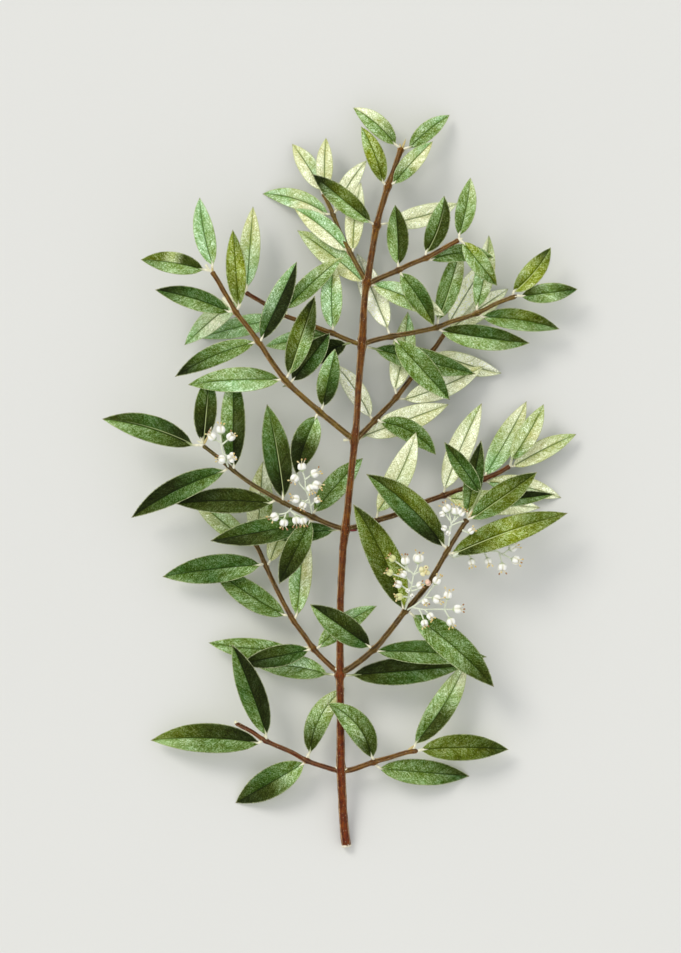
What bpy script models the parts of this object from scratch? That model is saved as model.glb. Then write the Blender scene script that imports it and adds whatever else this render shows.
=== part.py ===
"""A flowering phillyrea branch, cut from its shrub and lying on its back on a table.

The branch is drawn on a grid of half-millimetre marks, seen from straight above:
the cut end is at the bottom of the drawing and the young tip at its top.
A place is (mark across, mark down, height above the table in millimetres).
"""
import math

import bmesh
import bpy
from mathutils import Matrix, Vector

# Driving dimensions, in metres unless a name says otherwise
MM = 0.001
MARK = 0.5 * MM
CENTRE_ACROSS = 340.0
CENTRE_DOWN = 478.0
GAP = 0.3 * MM

STEM_SIDES = 10
TWIG_SIDES = 6

LEAF_THICKNESS = 0.9 * MM
PETIOLE_WIDTH = 1.2 * MM
PETIOLE_DEPTH = 1.2 * MM
FOLD = 0.22
# Along the blade: how far from its base, and the width there as a share of the widest
BLADE_STATIONS = ((0.0, 0.11), (0.10, 0.57), (0.27, 0.91), (0.46, 1.0), (0.67, 0.85), (0.86, 0.45))

FLOWER_SIDES = 6
FLOWER_LENGTH = 4.0 * MM
STALK_RADIUS = 0.45 * MM
# From the stalk to the mouth and back in: how far along the flower, and its radius, as shares of its length
FLOWER_PROFILE = ((0.12, 0.36), (0.52, 0.58), (0.96, 0.42), (0.80, 0.16))
STAMEN_REACH = 1.45

BARK_COLOUR = (0.30, 0.17, 0.09, 1.0)
FRONT_COLOUR = (0.21, 0.29, 0.08, 1.0)
BACK_COLOUR = (0.55, 0.62, 0.36, 1.0)
FLOWER_COLOUR = (0.90, 0.90, 0.82, 1.0)


def clear_scene():
    for thing in list(bpy.data.objects):
        bpy.data.objects.remove(thing)


def at(across, down, height):
    """World place of a mark on the drawing, at a height in millimetres."""
    return Vector(((across - CENTRE_ACROSS) * MARK, (CENTRE_DOWN - down) * MARK, height * MM))


def plain_material(name, colour, roughness):
    material = bpy.data.materials.new(name)
    material.use_nodes = True
    shader = material.node_tree.nodes["Principled BSDF"]
    shader.inputs["Base Color"].default_value = colour
    shader.inputs["Roughness"].default_value = roughness
    shader.inputs["Metallic"].default_value = 0.0
    return material


def add_mesh_object(name, mesh):
    thing = bpy.data.objects.new(name, mesh)
    bpy.context.scene.collection.objects.link(thing)
    return thing


def skin(name, rings, tip=None):
    """A closed solid through rings of equal count, flat at its start, flat or pointed at its end.

    The two halves of each ring are split into triangles as mirror images,
    so the upper and the lower face of a blade bend along the same lines.
    """
    shape = bmesh.new()
    loops = [[shape.verts.new(place) for place in ring] for ring in rings]
    count = len(rings[0])
    for near, far in zip(loops, loops[1:]):
        for i in range(count):
            j = (i + 1) % count
            if i < count // 2:
                shape.faces.new((near[i], near[j], far[j]))
                shape.faces.new((near[i], far[j], far[i]))
            else:
                shape.faces.new((near[i], near[j], far[i]))
                shape.faces.new((near[j], far[j], far[i]))
    shape.faces.new(loops[0])
    if tip is None:
        shape.faces.new(loops[-1])
    else:
        point = shape.verts.new(tip)
        for i in range(count):
            shape.faces.new((loops[-1][i], loops[-1][(i + 1) % count], point))
    bmesh.ops.recalc_face_normals(shape, faces=shape.faces)
    mesh = bpy.data.meshes.new(name)
    shape.to_mesh(mesh)
    shape.free()
    return add_mesh_object(name, mesh)


def side_and_normal(tangent):
    """The level direction across a run, and the direction square to both."""
    side = tangent.cross(Vector((0.0, 0.0, 1.0))).normalized()
    return side, side.cross(tangent).normalized()


def tangents(places):
    """The direction of travel at each place of a path."""
    steps = [(b - a).normalized() for a, b in zip(places, places[1:])]
    middles = [(a + b).normalized() for a, b in zip(steps, steps[1:])]
    return [steps[0], *middles, steps[-1]]


def turned_ring(centre, axis, radius, sides):
    """A ring of points round an axis, its first point on the ring's own left."""
    side, normal = side_and_normal(axis)
    ring = []
    for i in range(sides):
        angle = math.tau * i / sides
        ring.append(centre + radius * (math.cos(angle) * side + math.sin(angle) * normal))
    return ring


def tube(name, places, radii, sides):
    """A round run along the places, with its own radius at each."""
    rings = []
    for place, tangent, radius in zip(places, tangents(places), radii):
        rings.append(turned_ring(place, tangent, radius, sides))
    return skin(name, rings)


def nearest_on(path, place):
    """The point of the path that lies nearest to the place in plan."""
    best = None
    for a, b in zip(path, path[1:]):
        run = (b - a).to_2d()
        share = (place - a).to_2d().dot(run) / run.length_squared
        share = min(1.0, max(0.0, share))
        point = a.lerp(b, share)
        distance = (point - place).to_2d().length
        if best is None or distance < best[0]:
            best = (distance, point)
    return best[1]


def blade_place(base, tip, share, bow, arch):
    """A point of the midrib: the run from base to tip, bent sideways by bow and upwards by arch."""
    run = tip - base
    left = Vector((-run.y, run.x, 0.0)).normalized()
    bend = 4.0 * share * (1.0 - share)
    return base + share * run + bend * (bow * left + arch * Vector((0.0, 0.0, 1.0)))


def leaf(path, tip, base, width, arch=1.0, bow=0.0, fold=FOLD, roll=0.0, root=None):
    """A petiole and its folded blade: width, arch and bow in millimetres, fold and roll as slopes.

    The petiole grows from the point of the path nearest to the blade's base, unless a root is given.
    """
    tip = at(*tip)
    base = at(*base)
    root = at(*root) if root else nearest_on(path, base)
    shares = [share for share, _ in BLADE_STATIONS]
    places = [blade_place(base, tip, share, bow * MM, arch * MM) for share in shares]
    run = tangents([root, *places, tip])
    rings = []
    sections = [(root, 0.5 * PETIOLE_WIDTH, PETIOLE_DEPTH)]
    for place, (_, share) in zip(places, BLADE_STATIONS):
        half = max(0.5 * width * MM * share, 0.5 * PETIOLE_WIDTH)
        sections.append((place, half, LEAF_THICKNESS if share > 0.2 else PETIOLE_DEPTH))
    for (place, half, depth), tangent in zip(sections, run):
        side, normal = side_and_normal(tangent)
        lift = fold * (half - 0.5 * PETIOLE_WIDTH)
        left = place - half * side + (lift + roll * half) * normal
        right = place + half * side + (lift - roll * half) * normal
        rings.append([left, place + 0.5 * depth * normal, right, place - 0.5 * depth * normal])
    return skin("leaf", rings, tip)


def bud(path, tip, base, width, root=None):
    """A short pointed bud or scale, width in millimetres."""
    tip = at(*tip)
    base = at(*base)
    root = at(*root) if root else nearest_on(path, base)
    half = 0.5 * width * MM
    places = [root, base, base.lerp(tip, 0.5)]
    radii = (0.6 * half, 0.8 * half, half)
    rings = []
    for place, tangent, radius in zip(places, tangents(places), radii):
        side, normal = side_and_normal(tangent)
        rings.append([place - radius * side, place + radius * normal,
                      place + radius * side, place - radius * normal])
    return skin("bud", rings, tip)


def flower(marks, place, faces, size=1.0):
    """A flower with its middle at the place and its mouth towards faces, on a stalk through the marks.

    Stalk, globe-shaped bell and the bundle of stamens that stands out of the mouth are one run.
    """
    centre = at(*place)
    axis = Vector(faces).normalized()
    length = FLOWER_LENGTH * size
    back = centre - 0.5 * length * axis
    route = [at(*mark) for mark in marks]
    route.append(back - 0.05 * length * axis)
    rings = []
    for point, tangent in zip(route, tangents(route)):
        rings.append(turned_ring(point, tangent, STALK_RADIUS, FLOWER_SIDES))
    for along, radius in FLOWER_PROFILE:
        rings.append(turned_ring(back + along * length * axis, axis, radius * length, FLOWER_SIDES))
    return skin("flower", rings, back + STAMEN_REACH * length * axis)


def applied(thing):
    """Turns the object's modifiers into its mesh."""
    graph = bpy.context.evaluated_depsgraph_get()
    mesh = bpy.data.meshes.new_from_object(thing.evaluated_get(graph))
    thing.modifiers.clear()
    thing.data = mesh


def fuse(carrier, solids):
    """Joins the solids to the carrier as one closed body."""
    group = bpy.data.collections.new("to_fuse")
    for solid in solids:
        group.objects.link(solid)
    union = carrier.modifiers.new("fuse", "BOOLEAN")
    union.operation = "UNION"
    union.operand_type = "COLLECTION"
    union.collection = group
    union.solver = "EXACT"
    applied(carrier)
    for solid in solids:
        bpy.data.objects.remove(solid)
    bpy.data.collections.remove(group)


def cope(thing, cutter):
    """Cuts the cutter's shape out of the object, so that it ends just clear of it."""
    cut = thing.modifiers.new("cope", "BOOLEAN")
    cut.operation = "DIFFERENCE"
    cut.object = cutter
    cut.solver = "EXACT"
    applied(thing)
    bpy.data.objects.remove(cutter)


def finished(thing, name, origin, material):
    """Names the object, moves its origin to the place and gives it its material."""
    thing.name = name
    thing.data.name = name
    thing.data.transform(Matrix.Translation(-origin))
    thing.location = origin
    thing.parent = BRANCH
    thing.data.materials.clear()
    thing.data.materials.append(material)
    thing.data.shade_smooth()
    thing.data.set_sharp_from_angle(angle=math.radians(50))


# The main stem: mark across, mark down, height and diameter in millimetres
STEM_RUN = (
    (346.5, 847.8, 2.24, 4.8),
    (343.5, 820.0, 5.6, 4.4),
    (341.5, 780.0, 10.4, 4.5),
    (341.0, 770.0, 11.6, 5.0),
    (340.7, 758.0, 12.8, 4.4),
    (340.5, 720.0, 16.4, 3.9),
    (340.0, 684.0, 19.0, 3.9),
    (340.0, 673.0, 19.6, 4.4),
    (340.0, 660.0, 20.4, 3.8),
    (340.5, 600.0, 23.2, 3.6),
    (343.0, 550.0, 25.2, 3.8),
    (345.5, 528.0, 26.0, 4.5),
    (347.0, 514.0, 26.4, 3.7),
    (351.5, 470.0, 27.3, 3.5),
    (354.0, 448.0, 27.5, 3.6),
    (354.5, 437.0, 27.5, 4.2),
    (356.5, 422.0, 27.4, 3.4),
    (359.0, 380.0, 26.6, 3.4),
    (362.0, 343.0, 25.5, 4.0),
    (364.5, 300.0, 24.0, 3.3),
    (367.0, 283.0, 23.2, 3.9),
    (369.5, 268.0, 22.4, 3.3),
    (373.5, 243.0, 21.1, 3.2),
    (376.0, 229.0, 20.4, 3.6),
    (379.5, 214.0, 19.5, 3.0),
    (388.0, 186.0, 17.6, 3.3),
    (393.0, 172.0, 16.8, 2.6),
    (401.0, 149.0, 15.4, 2.8),
    (406.0, 138.0, 15.0, 1.2),
)


def stem_path():
    return [at(*mark[:3]) for mark in STEM_RUN]


def stem_tube(extra=0.0):
    """The bare stem, or a copy of it that is fatter all round by extra."""
    radii = [0.5 * mark[3] * MM + extra for mark in STEM_RUN]
    return tube("stem", stem_path(), radii, STEM_SIDES)


def main_stem(material):
    path = stem_path()
    solids = [
        leaf(path, tip=(353, 107, 8), base=(395, 144, 16.5), width=10, arch=2, bow=-1.6),
        leaf(path, tip=(450, 114, 6), base=(410, 147, 16), width=9, arch=2, bow=0.8),
        leaf(path, tip=(361, 126, 14), base=(383, 182, 19), width=9.5, arch=2, bow=-1.2),
        leaf(path, tip=(433, 141, 12), base=(394, 183, 18.5), width=9.5, arch=2, bow=0.5),
        leaf(path, tip=(312, 174, 23), base=(370, 222, 22.5), width=11),
        leaf(path, tip=(458, 203, 16), base=(390, 223, 20), width=11, bow=-1.2),
        leaf(path, tip=(297, 230, 10), base=(362, 281, 20.5), width=12.5, arch=0, bow=-1),
        leaf(path, tip=(445, 316, 27), base=(373, 285, 23.5), width=11.5, bow=1.2),
        leaf(path, tip=(291, 362, 22), base=(346, 344, 25), width=11.5),
        leaf(path, tip=(476, 374, 13), base=(376, 349, 21.5), width=12.5, arch=0),
        leaf(path, tip=(449, 404, 13), base=(366, 435, 21.5), width=13, arch=0, root=(355, 442, 27)),
        leaf(path, tip=(265, 535, 18), base=(333, 530, 24.5), width=10, arch=0),
        leaf(path, tip=(256, 667, 5), base=(326, 674, 16.5), width=12, arch=0, bow=-2),
        leaf(path, tip=(465, 666, 14), base=(354, 675, 19), width=14, arch=0),
        bud(path, tip=(344, 440, 26.5), base=(349, 440, 27), width=1.6),
    ]
    stem = stem_tube()
    fuse(stem, solids)
    finished(stem, "main_stem", path[0], material)


def twig_tube(run, thick, extra=0.0):
    """A tapering twig, or a copy of it that is fatter all round by extra."""
    path = [at(*mark) for mark in run]
    last = len(path) - 1
    radii = [0.5 * MM * (thick[0] + (thick[1] - thick[0]) * i / last) + extra for i in range(last + 1)]
    return tube("twig", path, radii, TWIG_SIDES)


def leafy_shoot(name, run, thick, make_leaves, material):
    """A twig with its leaves as one body, ending just clear of the main stem."""
    path = [at(*mark) for mark in run]
    twig = twig_tube(run, thick)
    fuse(twig, make_leaves(path))
    cope(twig, stem_tube(GAP))
    finished(twig, name, path[0], material)


SHOOT_A_LEFT = ((341, 770, 11.6), (328, 766, 12.2), (309, 760, 13.5), (290, 750, 14.5),
                (266, 740, 16), (252, 731, 16.8), (235, 722, 17.5))
SHOOT_A_RIGHT = ((341, 770, 11.6), (352, 769, 12), (371, 762, 13.2), (390, 756.5, 14.5),
                 (409, 750.5, 16), (418, 750.5, 16.5))
SHOOT_B_LEFT = ((340, 673, 19.6), (330, 664, 18.5), (316, 650, 17), (303, 632, 15.8),
                (293, 619, 15), (283, 602, 13.8), (275, 587, 12.8), (265, 566, 11.5),
                (259, 552, 10.5), (253, 541, 9.8))
SHOOT_B_RIGHT = ((340, 673, 19.6), (352, 666, 21), (373, 649, 23.5), (388, 632, 26),
                 (403, 613, 28.5), (425, 588, 31), (435, 572, 32), (447, 551, 33.5),
                 (455, 538, 34.2), (467, 519, 35))
SHOOT_C_LEFT = ((345.5, 528, 26), (330, 523, 27), (313, 516, 28.3), (290, 506, 29.3),
                (270, 495, 30.2), (250, 484, 31.2), (230, 469, 32.2), (215, 456, 33),
                (203, 446, 33.8))
SHOOT_C_RIGHT = ((345.5, 528, 26), (356, 526, 24.8), (375, 520, 22.5), (400, 512, 19),
                 (425, 501, 15.8), (441, 495, 14), (464, 487, 12.2), (486, 477, 10.8),
                 (498, 472, 10), (510, 465, 9.4))
SHOOT_D_LEFT = ((354.5, 437, 27.5), (340, 424, 29), (324, 411, 30.5), (305, 395, 32.2),
                (289, 381, 33.6), (275, 363, 35), (262, 344, 36.4), (250, 328, 37.2),
                (236, 311, 38), (220, 285, 38.8), (212, 272, 39.2))
SHOOT_D_RIGHT = ((354.5, 437, 27.5), (363, 429, 25.5), (372, 420, 23), (382, 410, 19),
                 (394, 398, 15), (412, 376, 12), (434, 349, 9), (444, 334, 7.8), (449, 327, 7.2))
SHOOT_E_LEFT = ((362, 343, 25.5), (348, 338, 24.6), (333, 332, 23.5), (314, 326, 22.3),
                (295, 320, 21), (284, 316, 20.2), (262, 303, 18.5), (245, 293, 17))
SHOOT_E_RIGHT = ((362, 343, 25.5), (375, 339, 25), (388, 336, 24.2), (410, 332, 23.3),
                 (434, 327, 22.3), (450, 321, 21.6), (475, 313, 20.5), (495, 303, 19.5),
                 (508, 298, 19), (517, 295, 18.6))
SHOOT_F_LEFT = ((367, 283, 23.2), (362, 275, 22.4), (355, 262, 21), (350, 252, 20),
                (345, 241, 18.8), (340, 230, 17.5), (335, 217, 16), (329, 204, 14),
                (323, 193, 12.5))
SHOOT_F_RIGHT = ((367, 283, 23.2), (380, 277, 25.2), (398, 269, 27.5), (410, 263, 29),
                 (426, 257, 30.5), (445, 247, 31.8), (459, 240, 32.6))


def a_left_leaves(path):
    return [
        leaf(path, tip=(343, 692, 12.5), base=(310, 752, 14.5), width=11, bow=4),
        leaf(path, tip=(235, 804, 0), base=(303, 764, 13), width=15, arch=2),
        leaf(path, tip=(232, 644, 23), base=(266, 734, 18), width=13.5, bow=0.6),
        leaf(path, tip=(150, 741, 6), base=(258, 743, 17), width=15, arch=2, bow=-2),
        bud(path, tip=(230, 721, 18.6), base=(234, 721.8, 17.8), width=1.5, root=(239, 724, 17.3)),
    ]


def a_right_leaves(path):
    return [
        leaf(path, tip=(327, 703, 24), base=(371, 755, 15.5), width=12.5, arch=2, bow=-4),
        leaf(path, tip=(470, 777, 0), base=(381, 769, 12.5), width=13),
        leaf(path, tip=(467, 661, 9), base=(416, 743, 17), width=13, bow=-1.8),
        leaf(path, tip=(509, 750, 9), base=(422, 750, 16.5), width=13.5, bow=1.2),
    ]


def b_left_leaves(path):
    return [
        leaf(path, tip=(377, 606, 15), base=(319, 647, 17.5), width=10.5, bow=2),
        leaf(path, tip=(241, 664, 15.5), base=(308, 650, 17.5), width=11),
        leaf(path, tip=(208, 643, 6), base=(290, 650, 13), width=10.5, bow=1),
        leaf(path, tip=(212, 567, 8), base=(284, 615, 14.5), width=13, bow=1.2),
        leaf(path, tip=(305, 527, 13), base=(297, 614, 15.5), width=11.5),
        leaf(path, tip=(162, 577, 10), base=(259, 565, 13.5), width=14.5, arch=1.5, bow=-0.8),
        leaf(path, tip=(288, 512, 9), base=(270, 561, 12), width=9.5),
        leaf(path, tip=(263, 461, 9), base=(257, 541, 10.5), width=13),
        leaf(path, tip=(190, 492, 4), base=(250, 542, 9), width=11, bow=1.2),
    ]


def b_right_leaves(path):
    return [
        leaf(path, tip=(310, 604, 30), base=(369, 646, 25), width=13.5),
        leaf(path, tip=(487, 657, 18.5), base=(378, 651, 23.5), width=12, bow=0.8),
        leaf(path, tip=(353, 504, 33), base=(403, 607, 30), width=16, bow=-2.2),
        leaf(path, tip=(494, 687, 24), base=(414, 616, 29.5), width=15.5, arch=2, bow=1.8),
        leaf(path, tip=(366, 474, 34), base=(443, 545, 34.5), width=15, bow=-2.8),
        leaf(path, tip=(568, 513, 25), base=(453, 553, 33.5), width=14, bow=1.5),
        leaf(path, tip=(537, 472, 30), base=(471, 518, 35.5), width=13),
        leaf(path, tip=(481, 440, 29), base=(467, 513, 34.5), width=9.5),
        leaf(path, tip=(444, 442, 37), base=(480, 492, 36.5), width=9),
        leaf(path, tip=(555, 494, 23), base=(480, 503, 33), width=7.5),
    ]


def c_left_leaves(path):
    return [
        leaf(path, tip=(363, 458, 17), base=(315, 511, 26), width=12, bow=0.8),
        leaf(path, tip=(279, 584, 24), base=(310, 521, 27.5), width=12.5),
        leaf(path, tip=(210, 541, 19), base=(308, 523, 26.5), width=13),
        leaf(path, tip=(267, 404, 26), base=(283, 497, 30.5), width=14, bow=-0.7),
        leaf(path, tip=(176, 504, 18), base=(270, 503, 29), width=13, bow=-1.5),
        leaf(path, tip=(234, 370, 27), base=(234, 466, 33), width=12.5, bow=0.4),
        leaf(path, tip=(131, 518, 16), base=(224, 471, 31), width=12.5, bow=-2.2),
        leaf(path, tip=(102, 419, 24), base=(192, 445, 33.5), width=13.5, bow=-2.2),
        leaf(path, tip=(209, 375, 28), base=(203, 441, 34), width=11.5),
    ]


def c_right_leaves(path):
    return [
        leaf(path, tip=(416, 432, 30), base=(378, 511, 23.5), width=13, bow=-1.8),
        leaf(path, tip=(482, 403, 13), base=(445, 488, 15), width=12.5, bow=0.8),
        leaf(path, tip=(541, 508, 5), base=(449, 498, 13.5), width=12),
        leaf(path, tip=(527, 401, 5.5), base=(486, 474, 11.5), width=12, bow=-0.6),
        leaf(path, tip=(562, 498, 0), base=(488, 482, 10), width=10.5, bow=1.5),
        leaf(path, tip=(544, 404, 11), base=(512, 459, 10.5), width=10.5, bow=-0.8),
        leaf(path, tip=(577, 434, 5), base=(514, 466, 9), width=10, bow=0.7),
    ]


def d_left_leaves(path):
    return [
        leaf(path, tip=(200, 198, 36), base=(213, 265, 39.5), width=10.5, bow=1.2),
        leaf(path, tip=(141, 260, 31), base=(203, 270, 39), width=11, bow=-1),
        leaf(path, tip=(155, 290, 30), base=(229, 312, 37.5), width=11, bow=-1.3),
        leaf(path, tip=(233, 230, 38), base=(239, 306, 39), width=10),
        leaf(path, tip=(297, 262, 38), base=(262, 339, 38), width=11.5),
        leaf(path, tip=(175, 377, 27), base=(254, 343, 36), width=10.5, bow=-2),
        leaf(path, tip=(315, 296, 39), base=(289, 374, 35.5), width=12),
        leaf(path, tip=(330, 333, 32), base=(293, 380, 33), width=12),
        leaf(path, tip=(188, 385, 32), base=(279, 380, 34), width=12.5, bow=-1.2),
        leaf(path, tip=(335, 349, 33), base=(323, 406, 32), width=11),
        leaf(path, tip=(296, 474, 29.5), base=(316, 417, 31), width=13.5, bow=-0.8),
    ]


def d_right_leaves(path):
    return [
        leaf(path, tip=(335, 364, 9), base=(370, 416, 20), width=10, bow=-1.2),
        leaf(path, tip=(436, 455, 19), base=(381, 422, 24.5), width=11, bow=3.5),
        leaf(path, tip=(408, 311, 8), base=(395, 389, 15), width=12, bow=-1),
        leaf(path, tip=(484, 366, 8), base=(406, 399, 12.5), width=12, bow=-1.2),
        leaf(path, tip=(502, 373, 2.5), base=(438, 353, 8), width=10, bow=-1),
        leaf(path, tip=(509, 288, 0), base=(451, 328, 6.5), width=11),
        leaf(path, tip=(488, 258, 3), base=(450, 321, 7), width=11),
    ]


def e_left_leaves(path):
    return [
        leaf(path, tip=(334, 262, 19), base=(333, 328, 23), width=11, bow=1),
        leaf(path, tip=(343, 257, 23), base=(287, 308, 22), width=10, arch=1.5, bow=0.9),
        leaf(path, tip=(200, 338, 0), base=(279, 319, 17), width=10.5, bow=-1),
        leaf(path, tip=(265, 346, 14), base=(329, 334, 21.5), width=10),
        leaf(path, tip=(253, 206, 14), base=(247, 286, 17), width=10.5),
        leaf(path, tip=(184, 345, 7), base=(241, 297, 16), width=11, bow=-0.8),
    ]


def e_right_leaves(path):
    return [
        leaf(path, tip=(357, 253, 8), base=(387, 327, 21), width=12.5, arch=0),
        leaf(path, tip=(450, 400, 22), base=(396, 341, 23.5), width=13.5, arch=2),
        leaf(path, tip=(461, 245, 17), base=(438, 319, 22), width=11, bow=-0.8),
        leaf(path, tip=(530, 343, 14), base=(442, 331, 21.5), width=12.5, bow=-0.5),
        leaf(path, tip=(489, 235, 16), base=(477, 307, 20.5), width=10, bow=-1),
        leaf(path, tip=(560, 329, 12), base=(483, 317, 19.5), width=11, bow=1.5),
        leaf(path, tip=(551, 247, 16), base=(514, 291, 18.5), width=10.5, bow=-1.3),
        leaf(path, tip=(578, 289, 14), base=(522, 296, 18.3), width=10),
    ]


def f_left_leaves(path):
    return [
        leaf(path, tip=(292, 143, 5), base=(321, 189, 12.5), width=10, bow=-0.7),
        leaf(path, tip=(326, 137, 8), base=(325, 189, 12.8), width=8.5, bow=0.5),
        leaf(path, tip=(262, 193, 0), base=(327, 214, 14.5), width=10, bow=-2.6),
        leaf(path, tip=(367, 160, 13), base=(336, 211, 16.5), width=9, bow=1.5),
        leaf(path, tip=(361, 182, 15), base=(353, 250, 20.5), width=9.5, bow=1),
        leaf(path, tip=(294, 208, 13), base=(346, 250, 19.5), width=11, bow=-1.5),
    ]


def f_right_leaves(path):
    return [
        leaf(path, tip=(395, 205, 30), base=(398, 264, 28.5), width=11, bow=-0.5),
        leaf(path, tip=(434, 326, 30), base=(401, 274, 28), width=11, arch=2, bow=1),
        leaf(path, tip=(444, 196, 32), base=(426, 252, 31.5), width=11, bow=-1.8),
        leaf(path, tip=(494, 258, 23), base=(431, 260, 30), width=9, bow=3),
        leaf(path, tip=(470, 178, 34), base=(459, 235, 33.2), width=10, bow=-0.8),
        leaf(path, tip=(497, 286, 27), base=(463, 243, 32.5), width=10),
    ]


def flower_spray(name, solids, run, thick, material):
    """Stalks, flowers and stamens as one body, ending just clear of the twig that carries them."""
    carrier = solids[0]
    fuse(carrier, solids[1:])
    cope(carrier, twig_tube(run, thick, GAP))
    finished(carrier, name, at(*run[-1]), material)


def spray_c_end(material):
    solids = [
        flower([(229.5, 469, 32.2), (227, 463, 34.5), (223, 452, 36.5), (221, 440, 37.5)],
                place=(221, 429, 38), faces=(0.0, 1.0, 0.1)),
        flower([(221.5, 443, 37.3)], place=(211.5, 436, 38.5), faces=(-0.7, 0.7, 0.2)),
        flower([(222, 445, 37.1)], place=(230.5, 436, 38.2), faces=(0.6, 0.6, 0.5)),
        flower([(224, 454, 36.2)], place=(234, 456.5, 38), faces=(0.8, 0.1, 0.6)),
        flower([(226.5, 462, 34.9)], place=(220, 458, 37), faces=(-1.0, 0.0, 0.2)),
    ]
    flower_spray("spray_c_left_end", solids, SHOOT_C_LEFT, C_LEFT_THICK, material)


def spray_c_upper(material):
    solids = [
        flower([(312, 515.5, 28.3), (311, 508, 31), (309, 499, 32.8), (306, 489, 34), (305, 479, 35)],
                place=(302, 467, 36), faces=(-0.1, 1.0, 0.1)),
        flower([(305, 480, 35)], place=(295.5, 477, 35.8), faces=(-1.0, 0.1, 0.2), size=0.95),
        flower([(306.5, 491, 33.8), (300, 486, 34.6)], place=(292.5, 484, 35.2),
                faces=(-0.9, -0.3, 0.3), size=0.9),
        flower([(305, 480, 35)], place=(314.5, 473.5, 36), faces=(0.9, 0.4, 0.2)),
        flower([(307.5, 495, 33.4)], place=(314, 486, 35), faces=(1.0, 0.1, 0.3), size=1.05),
        flower([(310, 503, 32.2)], place=(296, 499, 34.2), faces=(-0.9, 0.2, 0.4)),
        flower([(309, 499, 32.8)], place=(303, 505, 34), faces=(-0.3, -0.8, 0.5), size=0.85),
        flower([(310.5, 506, 31.6)], place=(317, 500, 33.6), faces=(0.6, 0.4, 0.6), size=0.75),
    ]
    flower_spray("spray_c_left_upper", solids, SHOOT_C_LEFT, C_LEFT_THICK, material)


def spray_c_lower(material):
    solids = [
        flower([(292, 507, 29.3), (290, 510, 31), (286, 513, 32)], place=(275, 516.5, 32.2),
                faces=(-0.8, -0.5, 0.2)),
        flower([(286, 513, 32)], place=(284, 522.5, 32), faces=(-0.1, -1.0, 0.1), size=0.95),
        flower([(290, 510, 31)], place=(296.5, 520, 32), faces=(0.1, -1.0, 0.1)),
        flower([(292, 512, 31.6)], place=(303, 520.5, 32), faces=(0.3, -1.0, 0.1), size=0.95),
    ]
    flower_spray("spray_c_left_lower", solids, SHOOT_C_LEFT, C_LEFT_THICK, material)


def spray_b_first(material):
    solids = [
        flower([(448, 550, 33.5), (449, 540, 35.8), (450, 530, 36.6), (451, 525, 36.8), (450, 518, 37)],
                place=(446.5, 508.5, 37.3), faces=(-0.6, 0.8, 0.2), size=1.05),
        flower([(465, 521, 35), (459, 522, 36.7), (451, 525, 36.8), (454, 519, 37)],
                place=(455, 511, 37.3), faces=(0.0, 1.0, 0.2)),
        flower([(450, 521, 36.9)], place=(442, 514, 37.2), faces=(-0.8, -0.3, 0.3), size=0.7),
        flower([(453, 522, 36.9)], place=(461, 513, 37.4), faces=(0.6, 0.7, 0.3), size=0.85),
        flower([(450, 532, 36.5)], place=(444, 528, 37.4), faces=(-0.8, 0.3, 0.5), size=0.7),
        flower([(450, 526, 36.8)], place=(448, 533, 37.6), faces=(-0.3, -0.6, 0.7), size=0.6),
    ]
    flower_spray("spray_b_right_first", solids, SHOOT_B_RIGHT, B_RIGHT_THICK, material)


def spray_b_second(material):
    solids = [
        flower([(404, 612, 28.5), (407, 604, 33), (410, 596, 35), (411, 587, 36.2), (413, 575, 37),
                 (409, 570, 37.4)], place=(404.5, 560, 37.7), faces=(-0.1, 1.0, 0.2), size=1.05),
        flower([(413, 575, 37), (415, 568, 37.4)], place=(414.5, 558, 37.7), faces=(-0.1, 1.0, 0.2)),
        flower([(415, 568, 37.4)], place=(422, 558.5, 37.8), faces=(0.4, 0.9, 0.2), size=0.95),
        flower([(413, 575, 37)], place=(425, 569.5, 37.7), faces=(0.7, 0.3, 0.6)),
        flower([(411, 587, 36.2)], place=(419, 584, 37.3), faces=(0.8, -0.1, 0.5), size=0.8),
        flower([(410.5, 591, 35.7), (418, 588, 37)], place=(428, 581, 37.5), faces=(0.9, 0.3, 0.3),
                size=0.9),
        flower([(411.5, 584, 36.4)], place=(402, 573.5, 37.8), faces=(-0.7, 0.5, 0.5), size=0.85),
        flower([(410.5, 592, 35.6)], place=(396.5, 584.5, 37.6), faces=(-0.8, 0.2, 0.5), size=0.85),
        flower([(410, 572, 37.3)], place=(393, 557.5, 38), faces=(-0.7, 0.6, 0.3), size=0.85),
        flower([(406, 578, 37)], place=(390, 572, 38), faces=(-0.8, 0.4, 0.3), size=0.8),
        flower([(409.5, 597, 34.8)], place=(398, 597, 37), faces=(-0.8, -0.1, 0.6), size=0.85),
    ]
    flower_spray("spray_b_right_second", solids, SHOOT_B_RIGHT, B_RIGHT_THICK, material)


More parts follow.
